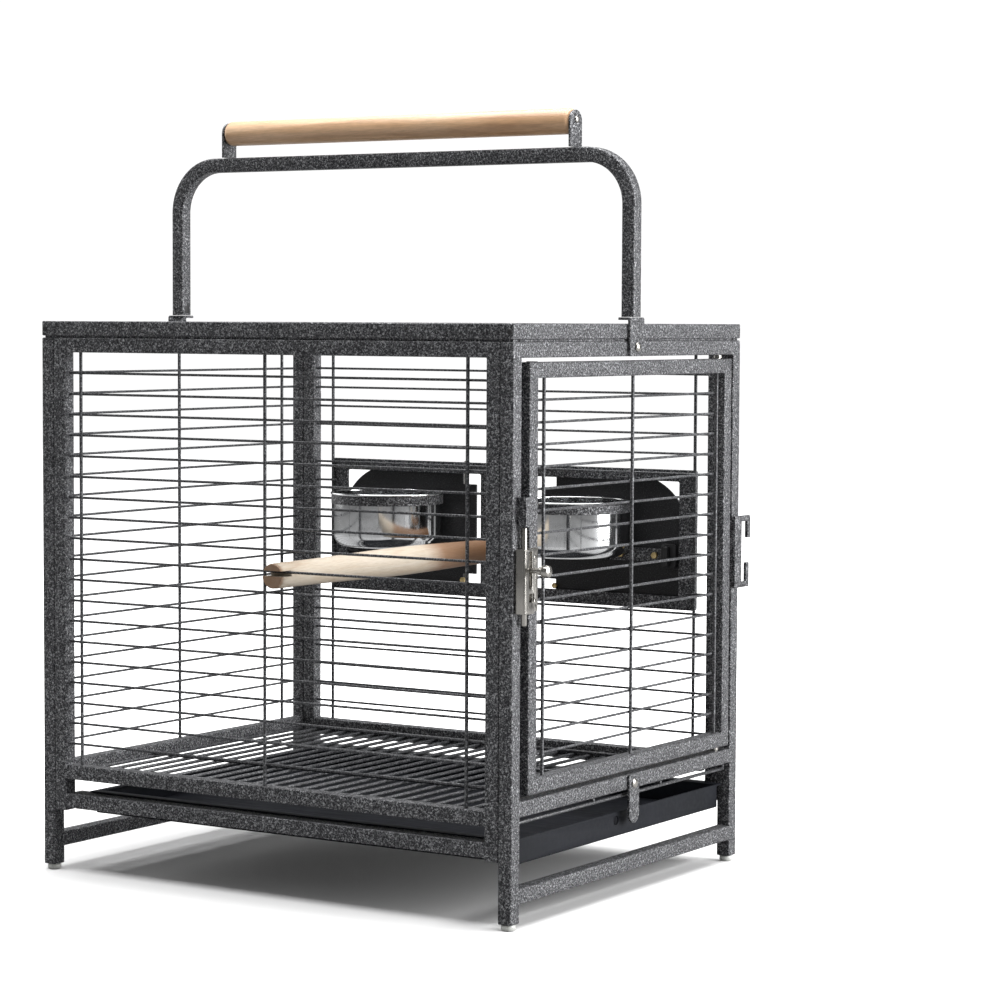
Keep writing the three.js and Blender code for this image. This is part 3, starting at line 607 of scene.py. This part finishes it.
DOOR_LOW, DOOR_HIGH = span("door_frame")
DOOR_WINDOW = (DOOR_LOW.z + TUBE, DOOR_HIGH.z - TUBE)
DOOR_SPAN = (DOOR_LOW.y + TUBE - TUCK, DOOR_HIGH.y - TUBE + TUCK)
piece("door_wire", "wire_paint", "door", wires(
    (-134, 6.5, 153), DOOR_WINDOW, [(z, *DOOR_SPAN) for z in levels(*DOOR_WINDOW)],
    lambda along, height, inward: (HALF_L - WIRE_INSET - inward, along, height),
), ["door_wires"])

LID_GAPS = 20
LID_ROWS = [(i + 1) * 2 * END_OPENING / LID_GAPS - END_OPENING for i in range(LID_GAPS - 1)]
LID_REACH = HALF_L - TUBE + TUCK
piece("lid_wire", "wire_paint", "cage", wires(
    (-198, 0, 198), (-END_OPENING, END_OPENING), [(y, -LID_REACH, LID_REACH) for y in LID_ROWS],
    lambda along, height, inward: (along, height, LID_TOP - WIRE_INSET - inward),
), ["top_wires"])


def grate(work):
    low, high = span("floor_grate")
    radius = 1.5
    gaps = 27
    for i in range(gaps + 1):
        x = low.x + radius + i * (high.x - low.x - 2 * radius) / gaps
        rod(work, radius, (x, low.y, low.z + radius), (x, high.y, low.z + radius), round_end=0.4)
    for y in (low.y + radius, -53.5, 58, high.y - radius):
        z = high.z - radius
        rod(work, radius, (low.x, y, z), (high.x, y, z), round_end=0.4)


piece("grate_rods", "wire_paint", "grate", grate, ["floor_grate"])


# ---------------------------------------------------------------- tray and its turning tab
def tray(work):
    low, high = span("tray")
    half = 164
    sheet = 1.2
    bar(work, (low.x, high.x), (-half, half), (low.z, low.z + sheet), corner=0.5, segments=2)
    rim = high.z
    for side in (-1, 1):
        wall = sorted((side * half, side * (half - sheet)))
        bar(work, (low.x, high.x), wall, (low.z, rim), corner=0.5, segments=2)
        lip = sorted((side * (half - sheet), side * high.y))
        bar(work, (low.x, high.x), lip, (rim - sheet, rim), corner=0.5, segments=2)
    left = [rounded((-half, half), (low.z, rim), 1.2)]
    plate(work, left, low.x, low.x + sheet, "x")
    hole = arc((-12.5, 63), 4, 360, 0, 24)[:-1]
    plate(work, left + [hole], high.x - sheet, high.x, "x")
    for end in (low.x + 1.6, high.x - 1.6):
        rod(work, 1.5, (end, -half, rim - 1.5), (end, half, rim - 1.5), sides=14, round_end=0.4)


piece("droppings_tray", "tray_paint", "tray", tray, ["tray"])


def tab(work):
    low, high = span("tray_latch_tab")
    middle = (low.y + high.y) / 2
    half = (high.y - low.y) / 2
    foot = arc((middle, low.z + half), half, 180, 360, 24)
    top = arc((high.y - 2, high.z - 2), 2, 0, 90, 4) + arc((low.y + 2, high.z - 2), 2, 90, 180, 4)
    hole = arc((middle, 93.4), 2.5, 360, 0, 20)[:-1]
    plate(work, [foot + top, hole], low.x, high.x, "x", corner=0.4)


piece("tray_tab", "hammertone_paint", "tray_latch", tab, ["tray_latch_tab"])


def dome(work, middle, radius, height, axis, sign):
    """A domed rivet or bolt head standing on a face, pointing along an axis."""
    steps = 8
    profile = [(0, 0), (radius * 0.96, 0), (radius, 0.15 * height)]
    for i in range(1, steps + 1):
        turn = i / steps * math.pi / 2
        profile.append((radius * math.cos(turn) + 0, height * (0.15 + 0.85 * math.sin(turn))))
    profile[-1] = (0, height)
    shrink = [(r, h * sign) for r, h in profile]
    turned(work, shrink, middle, axis, steps=32)


def tab_rivet(work):
    low, high = span("tray_latch_rivet")
    middle = (low.y + high.y) / 2, (low.z + high.z) / 2
    rod(work, 2.2, (low.x, *middle), (high.x - 0.5, *middle), sides=16)
    dome(work, (high.x - 1.7, *middle), 4.25, 1.7, "x", 1)


piece("tab_rivet", "nickel", "cage", tab_rivet, ["tray_latch_rivet"])


# ---------------------------------------------------------------- carrying bow
BOW_LOW, BOW_HIGH = span("handle_bow")
BOW_BEND = 48
BEND_STEPS = 24


def bow(work):
    """A square tube with round edges swept up one leg, round both bends and down the other."""
    line = BOW_BEND - TUBE / 2
    side = BOW_HIGH.x - TUBE / 2
    top = BOW_HIGH.z - TUBE / 2
    centres = ((-side + line, top - line), (side - line, top - line))
    path = [((-side, BOW_LOW.z), math.pi), ((-side, top - line), math.pi)]
    first = arc(centres[0], line, 180, 90, BEND_STEPS)
    second = arc(centres[1], line, 90, 0, BEND_STEPS)
    path += [(point, math.pi - i * math.pi / 2 / BEND_STEPS) for i, point in enumerate(first)][1:]
    path += [(point, math.pi / 2 - i * math.pi / 2 / BEND_STEPS) for i, point in enumerate(second)]
    path.append(((side, BOW_LOW.z), 0))
    section = rounded((-TUBE / 2, TUBE / 2), (-TUBE / 2, TUBE / 2), CORNER + 0.3, 3)
    rings = []
    for (x, z), outward in path:
        rings.append([
            work.verts.new((x + u * math.cos(outward), v, z + u * math.sin(outward))) for u, v in section
        ])
    for here, there in zip(rings, rings[1:]):
        for i in range(len(section)):
            j = (i + 1) % len(section)
            work.faces.new((here[i], here[j], there[j], there[i]))
    work.faces.new(rings[0])
    work.faces.new(rings[-1])
    bmesh.ops.recalc_face_normals(work, faces=work.faces)


piece("bow_tube", "hammertone_paint", "handle", bow, ["handle_bow"])


def leg_hole_shadow(work):
    """A thin black sheet on the inner face of the left leg's foot: painted shade of a dark hole."""
    inner = BOW_LOW.x + TUBE
    bar(work, (inner - 0.4, inner + 0.4), (-3, 3), (BOW_LOW.z + 2, BOW_LOW.z + 9), corner=0.3, segments=2)


# A black sheet as painted shade, riding on the bow.
piece("bow_leg_hole_shadow", "black_plastic", "handle", leg_hole_shadow)


def bracket(name):
    def build(work):
        low, high = span(f"handle_bracket_{name}")
        sign = 1 if name == "right" else -1
        outer = sorted((sign * (HALF_L + GAP), sign * (HALF_L + 2.8)))
        loop = rounded((low.y, high.y), (low.z, high.z), 2)
        hole = arc((0, 456.6), 2.8, 360, 0, 20)[:-1]
        plate(work, [loop, hole], outer[0], outer[1], "x", corner=0.5)
        flange = sorted((sign * 228, sign * (HALF_L + 2.5)))
        bar(work, flange, (-6.5, 6.5), (high.z - 2.2, high.z), corner=0.5, segments=2)
    return build


def bracket_bolt(name):
    def build(work):
        low, high = span(f"handle_bolt_{name}")
        sign = 1 if name == "right" else -1
        z = (low.z + high.z) / 2
        near, far = (low.x, high.x) if sign > 0 else (high.x, low.x)
        rod(work, 2.5, (near, 0, z), (far - sign * 0.6, 0, z), sides=20)
        dome(work, (far - sign * 2.3, 0, z), 4, 2.3, "x", sign)
    return build


def ear(name):
    def build(work):
        low, high = span(f"grip_ear_{name}")
        loop = [(low.y, low.z), (high.y, low.z)] + arc((0, high.z - high.y), high.y, 0, 180, 24)
        plate(work, [loop], low.x, high.x, "x", corner=0.4)
    return build


def ear_screw(name):
    def build(work):
        low, high = span(f"grip_screw_{name}")
        sign = 1 if name == "right" else -1
        base = low.x if sign > 0 else high.x
        dome(work, (base, 0, (low.z + high.z) / 2), 3, 1.7, "x", sign)
    return build


for end in ("left", "right"):
    piece(f"bow_bracket_{end}", "hammertone_paint", "handle", bracket(end), [f"handle_bracket_{end}"])
    piece(f"bow_bolt_{end}", "nickel", "cage", bracket_bolt(end), [f"handle_bolt_{end}"])
    piece(f"ear_{end}", "hammertone_paint", "handle", ear(end), [f"grip_ear_{end}"])
    piece(f"ear_screw_{end}", "nickel", "handle", ear_screw(end), [f"grip_screw_{end}"])


def grip(work):
    low, high = span("handle_grip")
    radius = (high.z - low.z) / 2
    length = high.x - low.x
    ease = 4
    ends = [(radius - ease + ease * math.sin(t), ease - ease * math.cos(t)) for t in (0, 0.4, 0.8, 1.2, 1.57)]
    far = [(r, length - h) for r, h in reversed(ends)]
    profile = [(0, 0)] + ends + [(radius, length / 2)] + far + [(0, length)]
    turned(work, profile, (low.x, 0, (low.z + high.z) / 2), "x", steps=64)


piece("grip", "grip_wood", "handle", grip, ["handle_grip"])


# ---------------------------------------------------------------- perch
WIRE_Z = SIDE_LEVELS[9]


def perch(work):
    """A dowel fuller in the middle; each end is slotted over a cross wire."""
    low, high = span("perch")
    x, z = (low.x + high.x) / 2, (low.z + high.z) / 2
    middle, end_radius = (high.x - low.x) / 2, 10.6
    steps, sides = 60, 40
    slot_low, slot_high = WIRE_Z - 3.4 - z, WIRE_Z + 1.4 - z
    rings = []
    for i in range(steps + 1):
        share = i / steps
        swell = math.sin(math.pi * min(max((share - 0.08) / 0.84, 0), 1)) ** 2
        radius = end_radius + (middle - end_radius) * swell
        ease = min(share, 1 - share) * (high.y - low.y)
        radius -= 0.9 * max(0, 1 - ease / 3)
        rings.append((low.y + share * (high.y - low.y), radius))
    rings.insert(1, (low.y + 1, end_radius - 0.3))
    rings.insert(-1, (high.y - 1, end_radius - 0.3))
    profile = [(0, rings[0][0])] + [(r, y) for y, r in rings] + [(0, rings[-1][0])]
    body = bmesh.new()
    turned(body, profile, (x, 0, z), "y", steps=sides)
    tools = bmesh.new()
    for y0, y1 in ((low.y - 2, low.y + 13), (high.y - 7, high.y + 2)):
        bar(tools, (x - 20, x + 20), (y0, y1), (z + slot_low, z + slot_high), corner=0.05, segments=1)
    absorb(work, carved(body, tools))


def carved(body, tools):
    """The body with the tools cut out of it, by Blender's exact boolean."""
    made = []
    for name, part in (("carve_body", body), ("carve_tools", tools)):
        mesh = bpy.data.meshes.new(name)
        part.to_mesh(mesh)
        part.free()
        made.append(bpy.data.objects.new(name, mesh))
        bpy.context.collection.objects.link(made[-1])
    cut = made[0].modifiers.new("cut", "BOOLEAN")
    cut.operation = "DIFFERENCE"
    cut.object = made[1]
    bpy.context.view_layer.update()
    result = bmesh.new()
    result.from_object(made[0], bpy.context.evaluated_depsgraph_get())
    for thing in made:
        mesh = thing.data
        bpy.data.objects.remove(thing)
        bpy.data.meshes.remove(mesh)
    return result


piece("perch_dowel", "perch_wood", "cage", perch, ["perch"])


# ---------------------------------------------------------------- barrel bolt, keeper and hook bracket
BOLT_X, BOLT_Y = 243.8, -176.5


def barrel(work):
    low, high = span("bolt_barrel")
    base = HALF_L + GAP
    far = DOOR_LOW.y + TUBE - 2
    loop = rounded((low.y, far), (low.z, high.z), 1.5)
    holes = [arc((DOOR_LOW.y + 5, z), 1.6, 360, 0, 16)[:-1] for z in (low.z + 8, high.z - 8)]
    plate(work, [loop] + holes, base, base + 1.2, "x", corner=0.3)
    walls = ((low.y, low.y + 1.6), (low.y + 11.9, low.y + 13.5))
    for wall in walls:
        bar(work, (base, high.x - 1), wall, (low.z, high.z), corner=0.5, segments=2)
    front = [rounded((low.y, low.y + 13.5), (low.z, high.z), 1.2)]
    slot = [(BOLT_Y + a, b) for a, b in reversed(rounded((-2.3, 2.3), (270, 299), 1.0))]
    notch = [(BOLT_Y + a, b) for a, b in reversed(rounded((-2.3, 5.2), (259, 266), 1.2))]
    plate(work, front + [slot, notch], high.x - 1.6, high.x, "x", corner=0.35)
    for z in (low.z, high.z - 2):
        for sign in (-1, 1):
            wall = sorted((BOLT_Y + sign * 2.8, BOLT_Y - 1.2 + sign * 6.7))
            bar(work, (base, high.x - 1), wall, (z, z + 2), corner=0.3, segments=1)


def barrel_screws(work):
    low, high = span("bolt_barrel")
    for z in (low.z + 8, high.z - 8):
        dome(work, (HALF_L + GAP + 0.9, DOOR_LOW.y + 5, z), 2.6, 1.3, "x", 1)


def bolt_rod(work):
    low, high = span("bolt_rod")
    rod(work, 2.5, (BOLT_X, BOLT_Y, low.z), (BOLT_X, BOLT_Y, high.z), sides=28, round_end=1.2)


def bolt_knob(work):
    low, high = span("bolt_knob")
    z = (low.z + high.z) / 2
    rod(work, 2, (low.x, BOLT_Y, z), (high.x - 4, BOLT_Y, z), sides=20)
    head = [
        (0, 0), (2.6, 0), (3.2, 0.8), (3.2, 3.2), (4.4, 4.2),
        (5, 5.4), (5, 8.6), (4.5, 10), (3.2, 10.8), (0, 11),
    ]
    turned(work, head, (high.x - 11, BOLT_Y, z), "x", steps=36)


def keeper(work):
    low, high = span("bolt_keeper")
    for sign in (-1, 1):
        wall = sorted((BOLT_Y + sign * 3.1, BOLT_Y + sign * 4.7))
        bar(work, (low.x, high.x - 0.5), wall, (low.z, high.z), corner=0.35, segments=2)
    loop = rounded((low.y, high.y), (low.z, high.z), 1)
    plate(work, [loop], high.x - 1.6, high.x, "x", corner=0.45)


def hook(work):
    low, high = span("rear_hook_bracket")
    prong = 5
    loop = [
        (low.y, low.z), (high.y - 2, low.z), (high.y - 2, 265), (high.y - 2 - prong, 265),
        (high.y - 2 - prong, low.z + prong), (HALF_D, low.z + prong), (HALF_D, high.z - prong),
        (high.y - prong, high.z - prong), (high.y - prong, 287), (high.y, 287),
        (high.y, high.z), (low.y, high.z),
    ]
    plate(work, [loop], low.x, high.x, "x", corner=0.6)
    for z in (low.z + 12, high.z - 12):
        dome(work, (high.x - 0.6, END_OPENING + 6, z), 2.6, 0.55, "x", 1)


piece("latch_body", "nickel", "door", barrel, ["bolt_barrel"])
piece("latch_screws", "nickel", "door", barrel_screws)
piece("latch_rod", "nickel", "door_bolt", bolt_rod, ["bolt_rod"])
piece("latch_knob", "nickel", "door_bolt", bolt_knob, ["bolt_knob"])
piece("latch_keeper", "hammertone_paint", "cage", keeper, ["bolt_keeper"])
piece("hook_bracket", "hammertone_paint", "cage", hook, ["rear_hook_bracket"])


# ---------------------------------------------------------------- feeders
WINDOW = 76
WINDOW_Z = (232, 335)
SWING = (-55, 191.8)
CUP_Y = 133.9
STRAP_Z = 268


def feeder(tag, side):
    frame_low, frame_high = span(f"feeder_frame_{tag}")
    middle = (frame_low.x + frame_high.x) / 2
    body = f"hatch_{tag}"

    def at(x):
        return middle + side * x

    def window_frame(work):
        outer = rounded((frame_low.x, frame_high.x), (frame_low.z, frame_high.z), 2.5)
        inner = rounded((middle - WINDOW, middle + WINDOW), WINDOW_Z, 1.5)
        plate(work, [outer, inner[::-1]], frame_low.y, frame_low.y + 3, "y", corner=0.5)
        for z0, z1 in ((frame_low.z, 225.4), (340.6, frame_high.z)):
            rod(
                work, 3.3, (at(SWING[0]), SWING[1], z0), (at(SWING[0]), SWING[1], z1),
                sides=20, round_end=0.5,
            )
            neck = sorted((at(SWING[0]) - 3.2, at(SWING[0]) + 3.2))
            bar(work, neck, (frame_low.y + 1, SWING[1]), (z0, z1), corner=0.4, segments=2)

    def hatch(work):
        low, high = span(f"feeder_hatch_{tag}")
        corner = 57
        loop = [(at(-54.5), low.z), (at(85), low.z)]
        start = (0, 90) if side > 0 else (180, 90)
        loop += arc((at(85 - corner), high.z - corner), corner, start[0], start[1], 28)
        loop += [(at(-54.5), high.z), (at(-54.5), 325), (at(-69), 325), (at(-69), 241), (at(-54.5), 241)]
        plate(work, [loop], low.y, low.y + 2, "y", corner=0.45)
        for z in (243, 309):
            rod(
                work, 3.4, (at(SWING[0]), SWING[1], z), (at(SWING[0]), SWING[1], z + 14),
                sides=24, round_end=0.5,
            )

    def ring(work):
        low, high = span(f"cup_ring_{tag}")
        cup = at(-5)
        inner, outer, ease = 50.4, 52, 0.4
        profile = [
            (inner, 308 + ease), (inner + ease, 308), (outer - ease, 308), (outer, 308 + ease),
            (outer, 316 - ease), (outer - ease, 316), (inner + ease, 316),
            (inner, 316 - ease), (inner, 308 + ease),
        ]
        turned(work, profile, (cup, CUP_Y, 0), "z", steps=96)
        back = high.y
        riser = rounded((cup - 10, cup + 10), (STRAP_Z - 6, 316), 1.5)
        plate(work, [riser], back - 2, back, "y")
        strap = rounded((cup, at(60)), (STRAP_Z - 6, STRAP_Z + 6), 1.5)
        plate(work, [strap], back - 2, back - 0.05, "y")

    def bowl(work):
        low, high = span(f"bowl_{tag}")
        radius, ease, wall = 49.8, 12, 0.9
        lip = high.z - 1.2
        outside = [(0, low.z), (radius - ease, low.z)]
        outside += arc((radius - ease, low.z + ease), ease, -90, 0, 12)[1:]
        rolled = arc((radius + 1.9, lip), 1.15, -120, 180, 12)
        rising = [(r - wall, z + wall * (1 if i < 2 else 0.4)) for i, (r, z) in enumerate(outside[2:])]
        inside = [(radius - wall, lip)] + rising[::-1] + [(0, low.z + wall)]
        turned(work, outside + [(radius, lip - 1)] + rolled + inside, (at(-5), CUP_Y, 0), "z", steps=96)

    def nut(x):
        def build(work):
            low, high = span(f"ring_nut_{tag}1")
            hexagon = arc((at(x), STRAP_Z), 3.2, 0, 300, 5)
            plate(work, [hexagon], low.y, high.y, "y", corner=0.5)
            rod(work, 1.6, (at(x), low.y + 0.3, STRAP_Z), (at(x), high.y, STRAP_Z), sides=16)
        return build

    def button(work):
        low, high = span(f"feeder_button_{tag}")
        x = at(67)
        wing = rounded((x - 7.8, x + 7.8), (STRAP_Z - 11, STRAP_Z + 11), 3.9, 8)
        back = frame_low.y - GAP
        plate(work, [wing], back - 3, back, "y", corner=0.9)
        rod(work, 2.6, (x, back - 0.5, STRAP_Z), (x, high.y, STRAP_Z), sides=20)
        bar(work, (x - 2, x + 2), (low.y, back - 2), (STRAP_Z - 9, STRAP_Z + 9), corner=1.4, segments=4)

    def pivot(work):
        low, high = span(f"feeder_pivot_{tag}")
        rod(
            work, 2, (at(SWING[0]), SWING[1], low.z), (at(SWING[0]), SWING[1], high.z),
            sides=20, round_end=0.6,
        )

    def pivot_nut(work):
        z = 235
        x = at(SWING[0])
        hexagon = arc((x, z), 2.8, 0, 300, 5)
        plate(work, [hexagon], 184.9, 187.3, "y", corner=0.4)

    piece(f"window_frame_{tag}", "hammertone_paint", "cage", window_frame, [f"feeder_frame_{tag}"])
    # The hatch plate wears the near-black coat: painted shade over the tubes' hammertone.
    piece(f"hatch_plate_{tag}", "hammertone_paint", body, hatch, [f"feeder_hatch_{tag}"], look="feeder_shaded_paint")
    piece(f"ring_strap_{tag}", "hammertone_paint", body, ring, [f"cup_ring_{tag}"])
    piece(f"cup_{tag}", "stainless", f"bowl_{tag}", bowl, [f"bowl_{tag}"], smooth=50)
    for number, x in ((1, 16.5), (2, 51.5)):
        piece(f"strap_nut_{tag}{number}", "brass_nut", body, nut(x), [f"ring_nut_{tag}{number}"])
    piece(f"turn_button_{tag}", "black_plastic", f"button_{tag}", button, [f"feeder_button_{tag}"])
    piece(f"pivot_rod_{tag}", "nickel", "cage", pivot, [f"feeder_pivot_{tag}"])
    piece(f"hatch_nut_{tag}", "brass_nut", body, pivot_nut)


feeder("a", -1)
feeder("b", 1)


# ---------------------------------------------------------------- glides, plugs and pins
def glide(node):
    def build(work):
        low, high = span(node)
        radius, height = (high.x - low.x) / 2, high.z - low.z
        profile = [
            (0, 0), (radius - 1.6, 0), (radius - 0.5, 0.5), (radius, 1.6), (radius, height - 0.6),
            (radius - 0.4, height), (0, height),
        ]
        turned(work, profile, ((low.x + high.x) / 2, (low.y + high.y) / 2, 0), "z", steps=40)
    return build


def plug(node):
    def build(work):
        low, high = span(node)
        sign = 1 if low.y > 0 else -1
        base = low.y - GAP if sign > 0 else high.y + GAP
        middle = ((low.x + high.x) / 2, base, (low.z + high.z) / 2)
        dome(work, middle, 2.5, 1.25, "y", sign)
    return build


for side_name in ("front", "rear"):
    for end in ("left", "right"):
        foot = f"foot_{side_name}_{end}"
        piece(f"glide_{side_name}_{end}", "glide_plastic", "cage", glide(foot), [foot])
        cap = f"lid_plug_{side_name}_{end}"
        piece(f"plug_{side_name}_{end}", "black_plastic", "cage", plug(cap), [cap])


def hinge_pin(node):
    def build(work):
        low, high = span(node)
        x, y = (low.x + high.x) / 2, (low.y + high.y) / 2
        rod(work, 2, (x, y, low.z), (x, y, high.z), sides=20, round_end=0.4)
        middle = (low.z + high.z) / 2
        turned(work, [(2, -1.2), (3.6, -1.2), (3.6, 1.2), (2, 1.2)], (x, y, middle), "z", steps=24)
    return build


for level in ("bottom", "top"):
    piece(f"hinge_pin_{level}", "nickel", "cage", hinge_pin(f"door_pin_{level}"), [f"door_pin_{level}"])


# ---------------------------------------------------------------- floor, light and camera
def floor():
    work = bmesh.new()
    bmesh.ops.create_grid(work, x_segments=8, y_segments=8, size=6)
    mesh = bpy.data.meshes.new("studio_floor")
    work.to_mesh(mesh)
    work.free()
    look = Look("studio_floor_paint", Roughness=0.6, Specular_IOR_Level=0.1)
    seen = look.ramp(look.noise(3, detail=2), (0.3, (0.83, 0.83, 0.83)), (0.7, (0.86, 0.86, 0.86)))
    dim = look.ramp(look.noise(3, detail=2), (0.3, (0.30, 0.30, 0.30)), (0.7, (0.32, 0.32, 0.32)))
    path = look.tree.nodes.new("ShaderNodeLightPath")
    look.color(look.blend("MIX", path.outputs["Is Camera Ray"], dim, seen))
    away = look.tree.nodes.new("ShaderNodeVectorMath")
    away.operation = "LENGTH"
    look.link(look.place, away.inputs[0])
    glow = look.ramp(away.outputs["Value"], (0.45, (0.0,)), (1.0, (1.0,)))
    glow_seen = look.blend("MULTIPLY", 1, glow, path.outputs["Is Camera Ray"])
    look.link(glow_seen, look.shader.inputs["Emission Color"])
    look.shader.inputs["Emission Strength"].default_value = 1.0
    mesh.materials.append(look.material)
    ground = bpy.data.objects.new("studio_floor", mesh)
    bpy.context.collection.objects.link(ground)


# Each lamp's name, place, aim, size (metres) and power (watts).
LAMPS = (
    ("key", (3.0, 0.9, 0.9), (0, 0, 0.25), (2.2, 2.2), 190),
    ("left", (-2.6, 0.2, 1.0), (0, 0, 0.25), (1.8, 1.8), 17),
    ("top", (0.0, 0.2, 3.0), (0, 0, 0), (3.4, 3.4), 235),
)


def area_light(name, place, aim, size, power):
    lamp = bpy.data.lights.new(name, "AREA")
    lamp.shape = "RECTANGLE"
    lamp.size, lamp.size_y = size
    lamp.energy = power
    holder = bpy.data.objects.new(name, lamp)
    holder.location = place
    holder.rotation_euler = (Vector(aim) - Vector(place)).to_track_quat("-Z", "Y").to_euler()
    bpy.context.collection.objects.link(holder)


AMBIENT = 0.23


def world():
    room = bpy.data.worlds.new("studio")
    room.use_nodes = True
    tree = room.node_tree
    backdrop = tree.nodes["Background"]
    ambient = tree.nodes.new("ShaderNodeBackground")
    mix = tree.nodes.new("ShaderNodeMixShader")
    path = tree.nodes.new("ShaderNodeLightPath")
    backdrop.inputs["Color"].default_value = (1.0, 1.0, 1.0, 1)
    backdrop.inputs["Strength"].default_value = 1.05
    ambient.inputs["Color"].default_value = (1.0, 1.0, 1.0, 1)
    ambient.inputs["Strength"].default_value = AMBIENT
    tree.links.new(path.outputs["Is Camera Ray"], mix.inputs["Fac"])
    tree.links.new(ambient.outputs[0], mix.inputs[1])
    tree.links.new(backdrop.outputs[0], mix.inputs[2])
    tree.links.new(mix.outputs[0], tree.nodes["World Output"].inputs["Surface"])
    bpy.context.scene.world = room


# The lens and the standpoint that give the view's perspective, in cage millimetres and radians.
FOCAL_SHARE = 2.9226
SENSOR = 36
STAND = Vector((1445.4, -2099.0, 477.9))
YAW, PITCH, ROLL = 0.56695, 0.06133, 0.00475


def camera():
    lens = bpy.data.cameras.new("camera")
    lens.sensor_width = SENSOR
    lens.lens = FOCAL_SHARE * SENSOR
    lens.clip_end = 50
    forward = Vector((-math.sin(YAW) * math.cos(PITCH), math.cos(YAW) * math.cos(PITCH), -math.sin(PITCH)))
    level = Vector((math.cos(YAW), math.sin(YAW), 0))
    raised = level.cross(forward)
    right = level * math.cos(ROLL) + raised * math.sin(ROLL)
    up = raised * math.cos(ROLL) - level * math.sin(ROLL)
    turn = Matrix((right, up, -forward)).transposed().to_4x4()
    holder = bpy.data.objects.new("camera", lens)
    holder.matrix_world = Matrix.Translation(STAND * MM + CENTRE) @ turn
    bpy.context.collection.objects.link(holder)
    bpy.context.scene.camera = holder


floor()
world()
for lamp_name, lamp_place, lamp_aim, lamp_size, lamp_power in LAMPS:
    area_light(lamp_name, lamp_place, lamp_aim, lamp_size, lamp_power)
camera()
bpy.context.scene.view_settings.view_transform = "Standard"
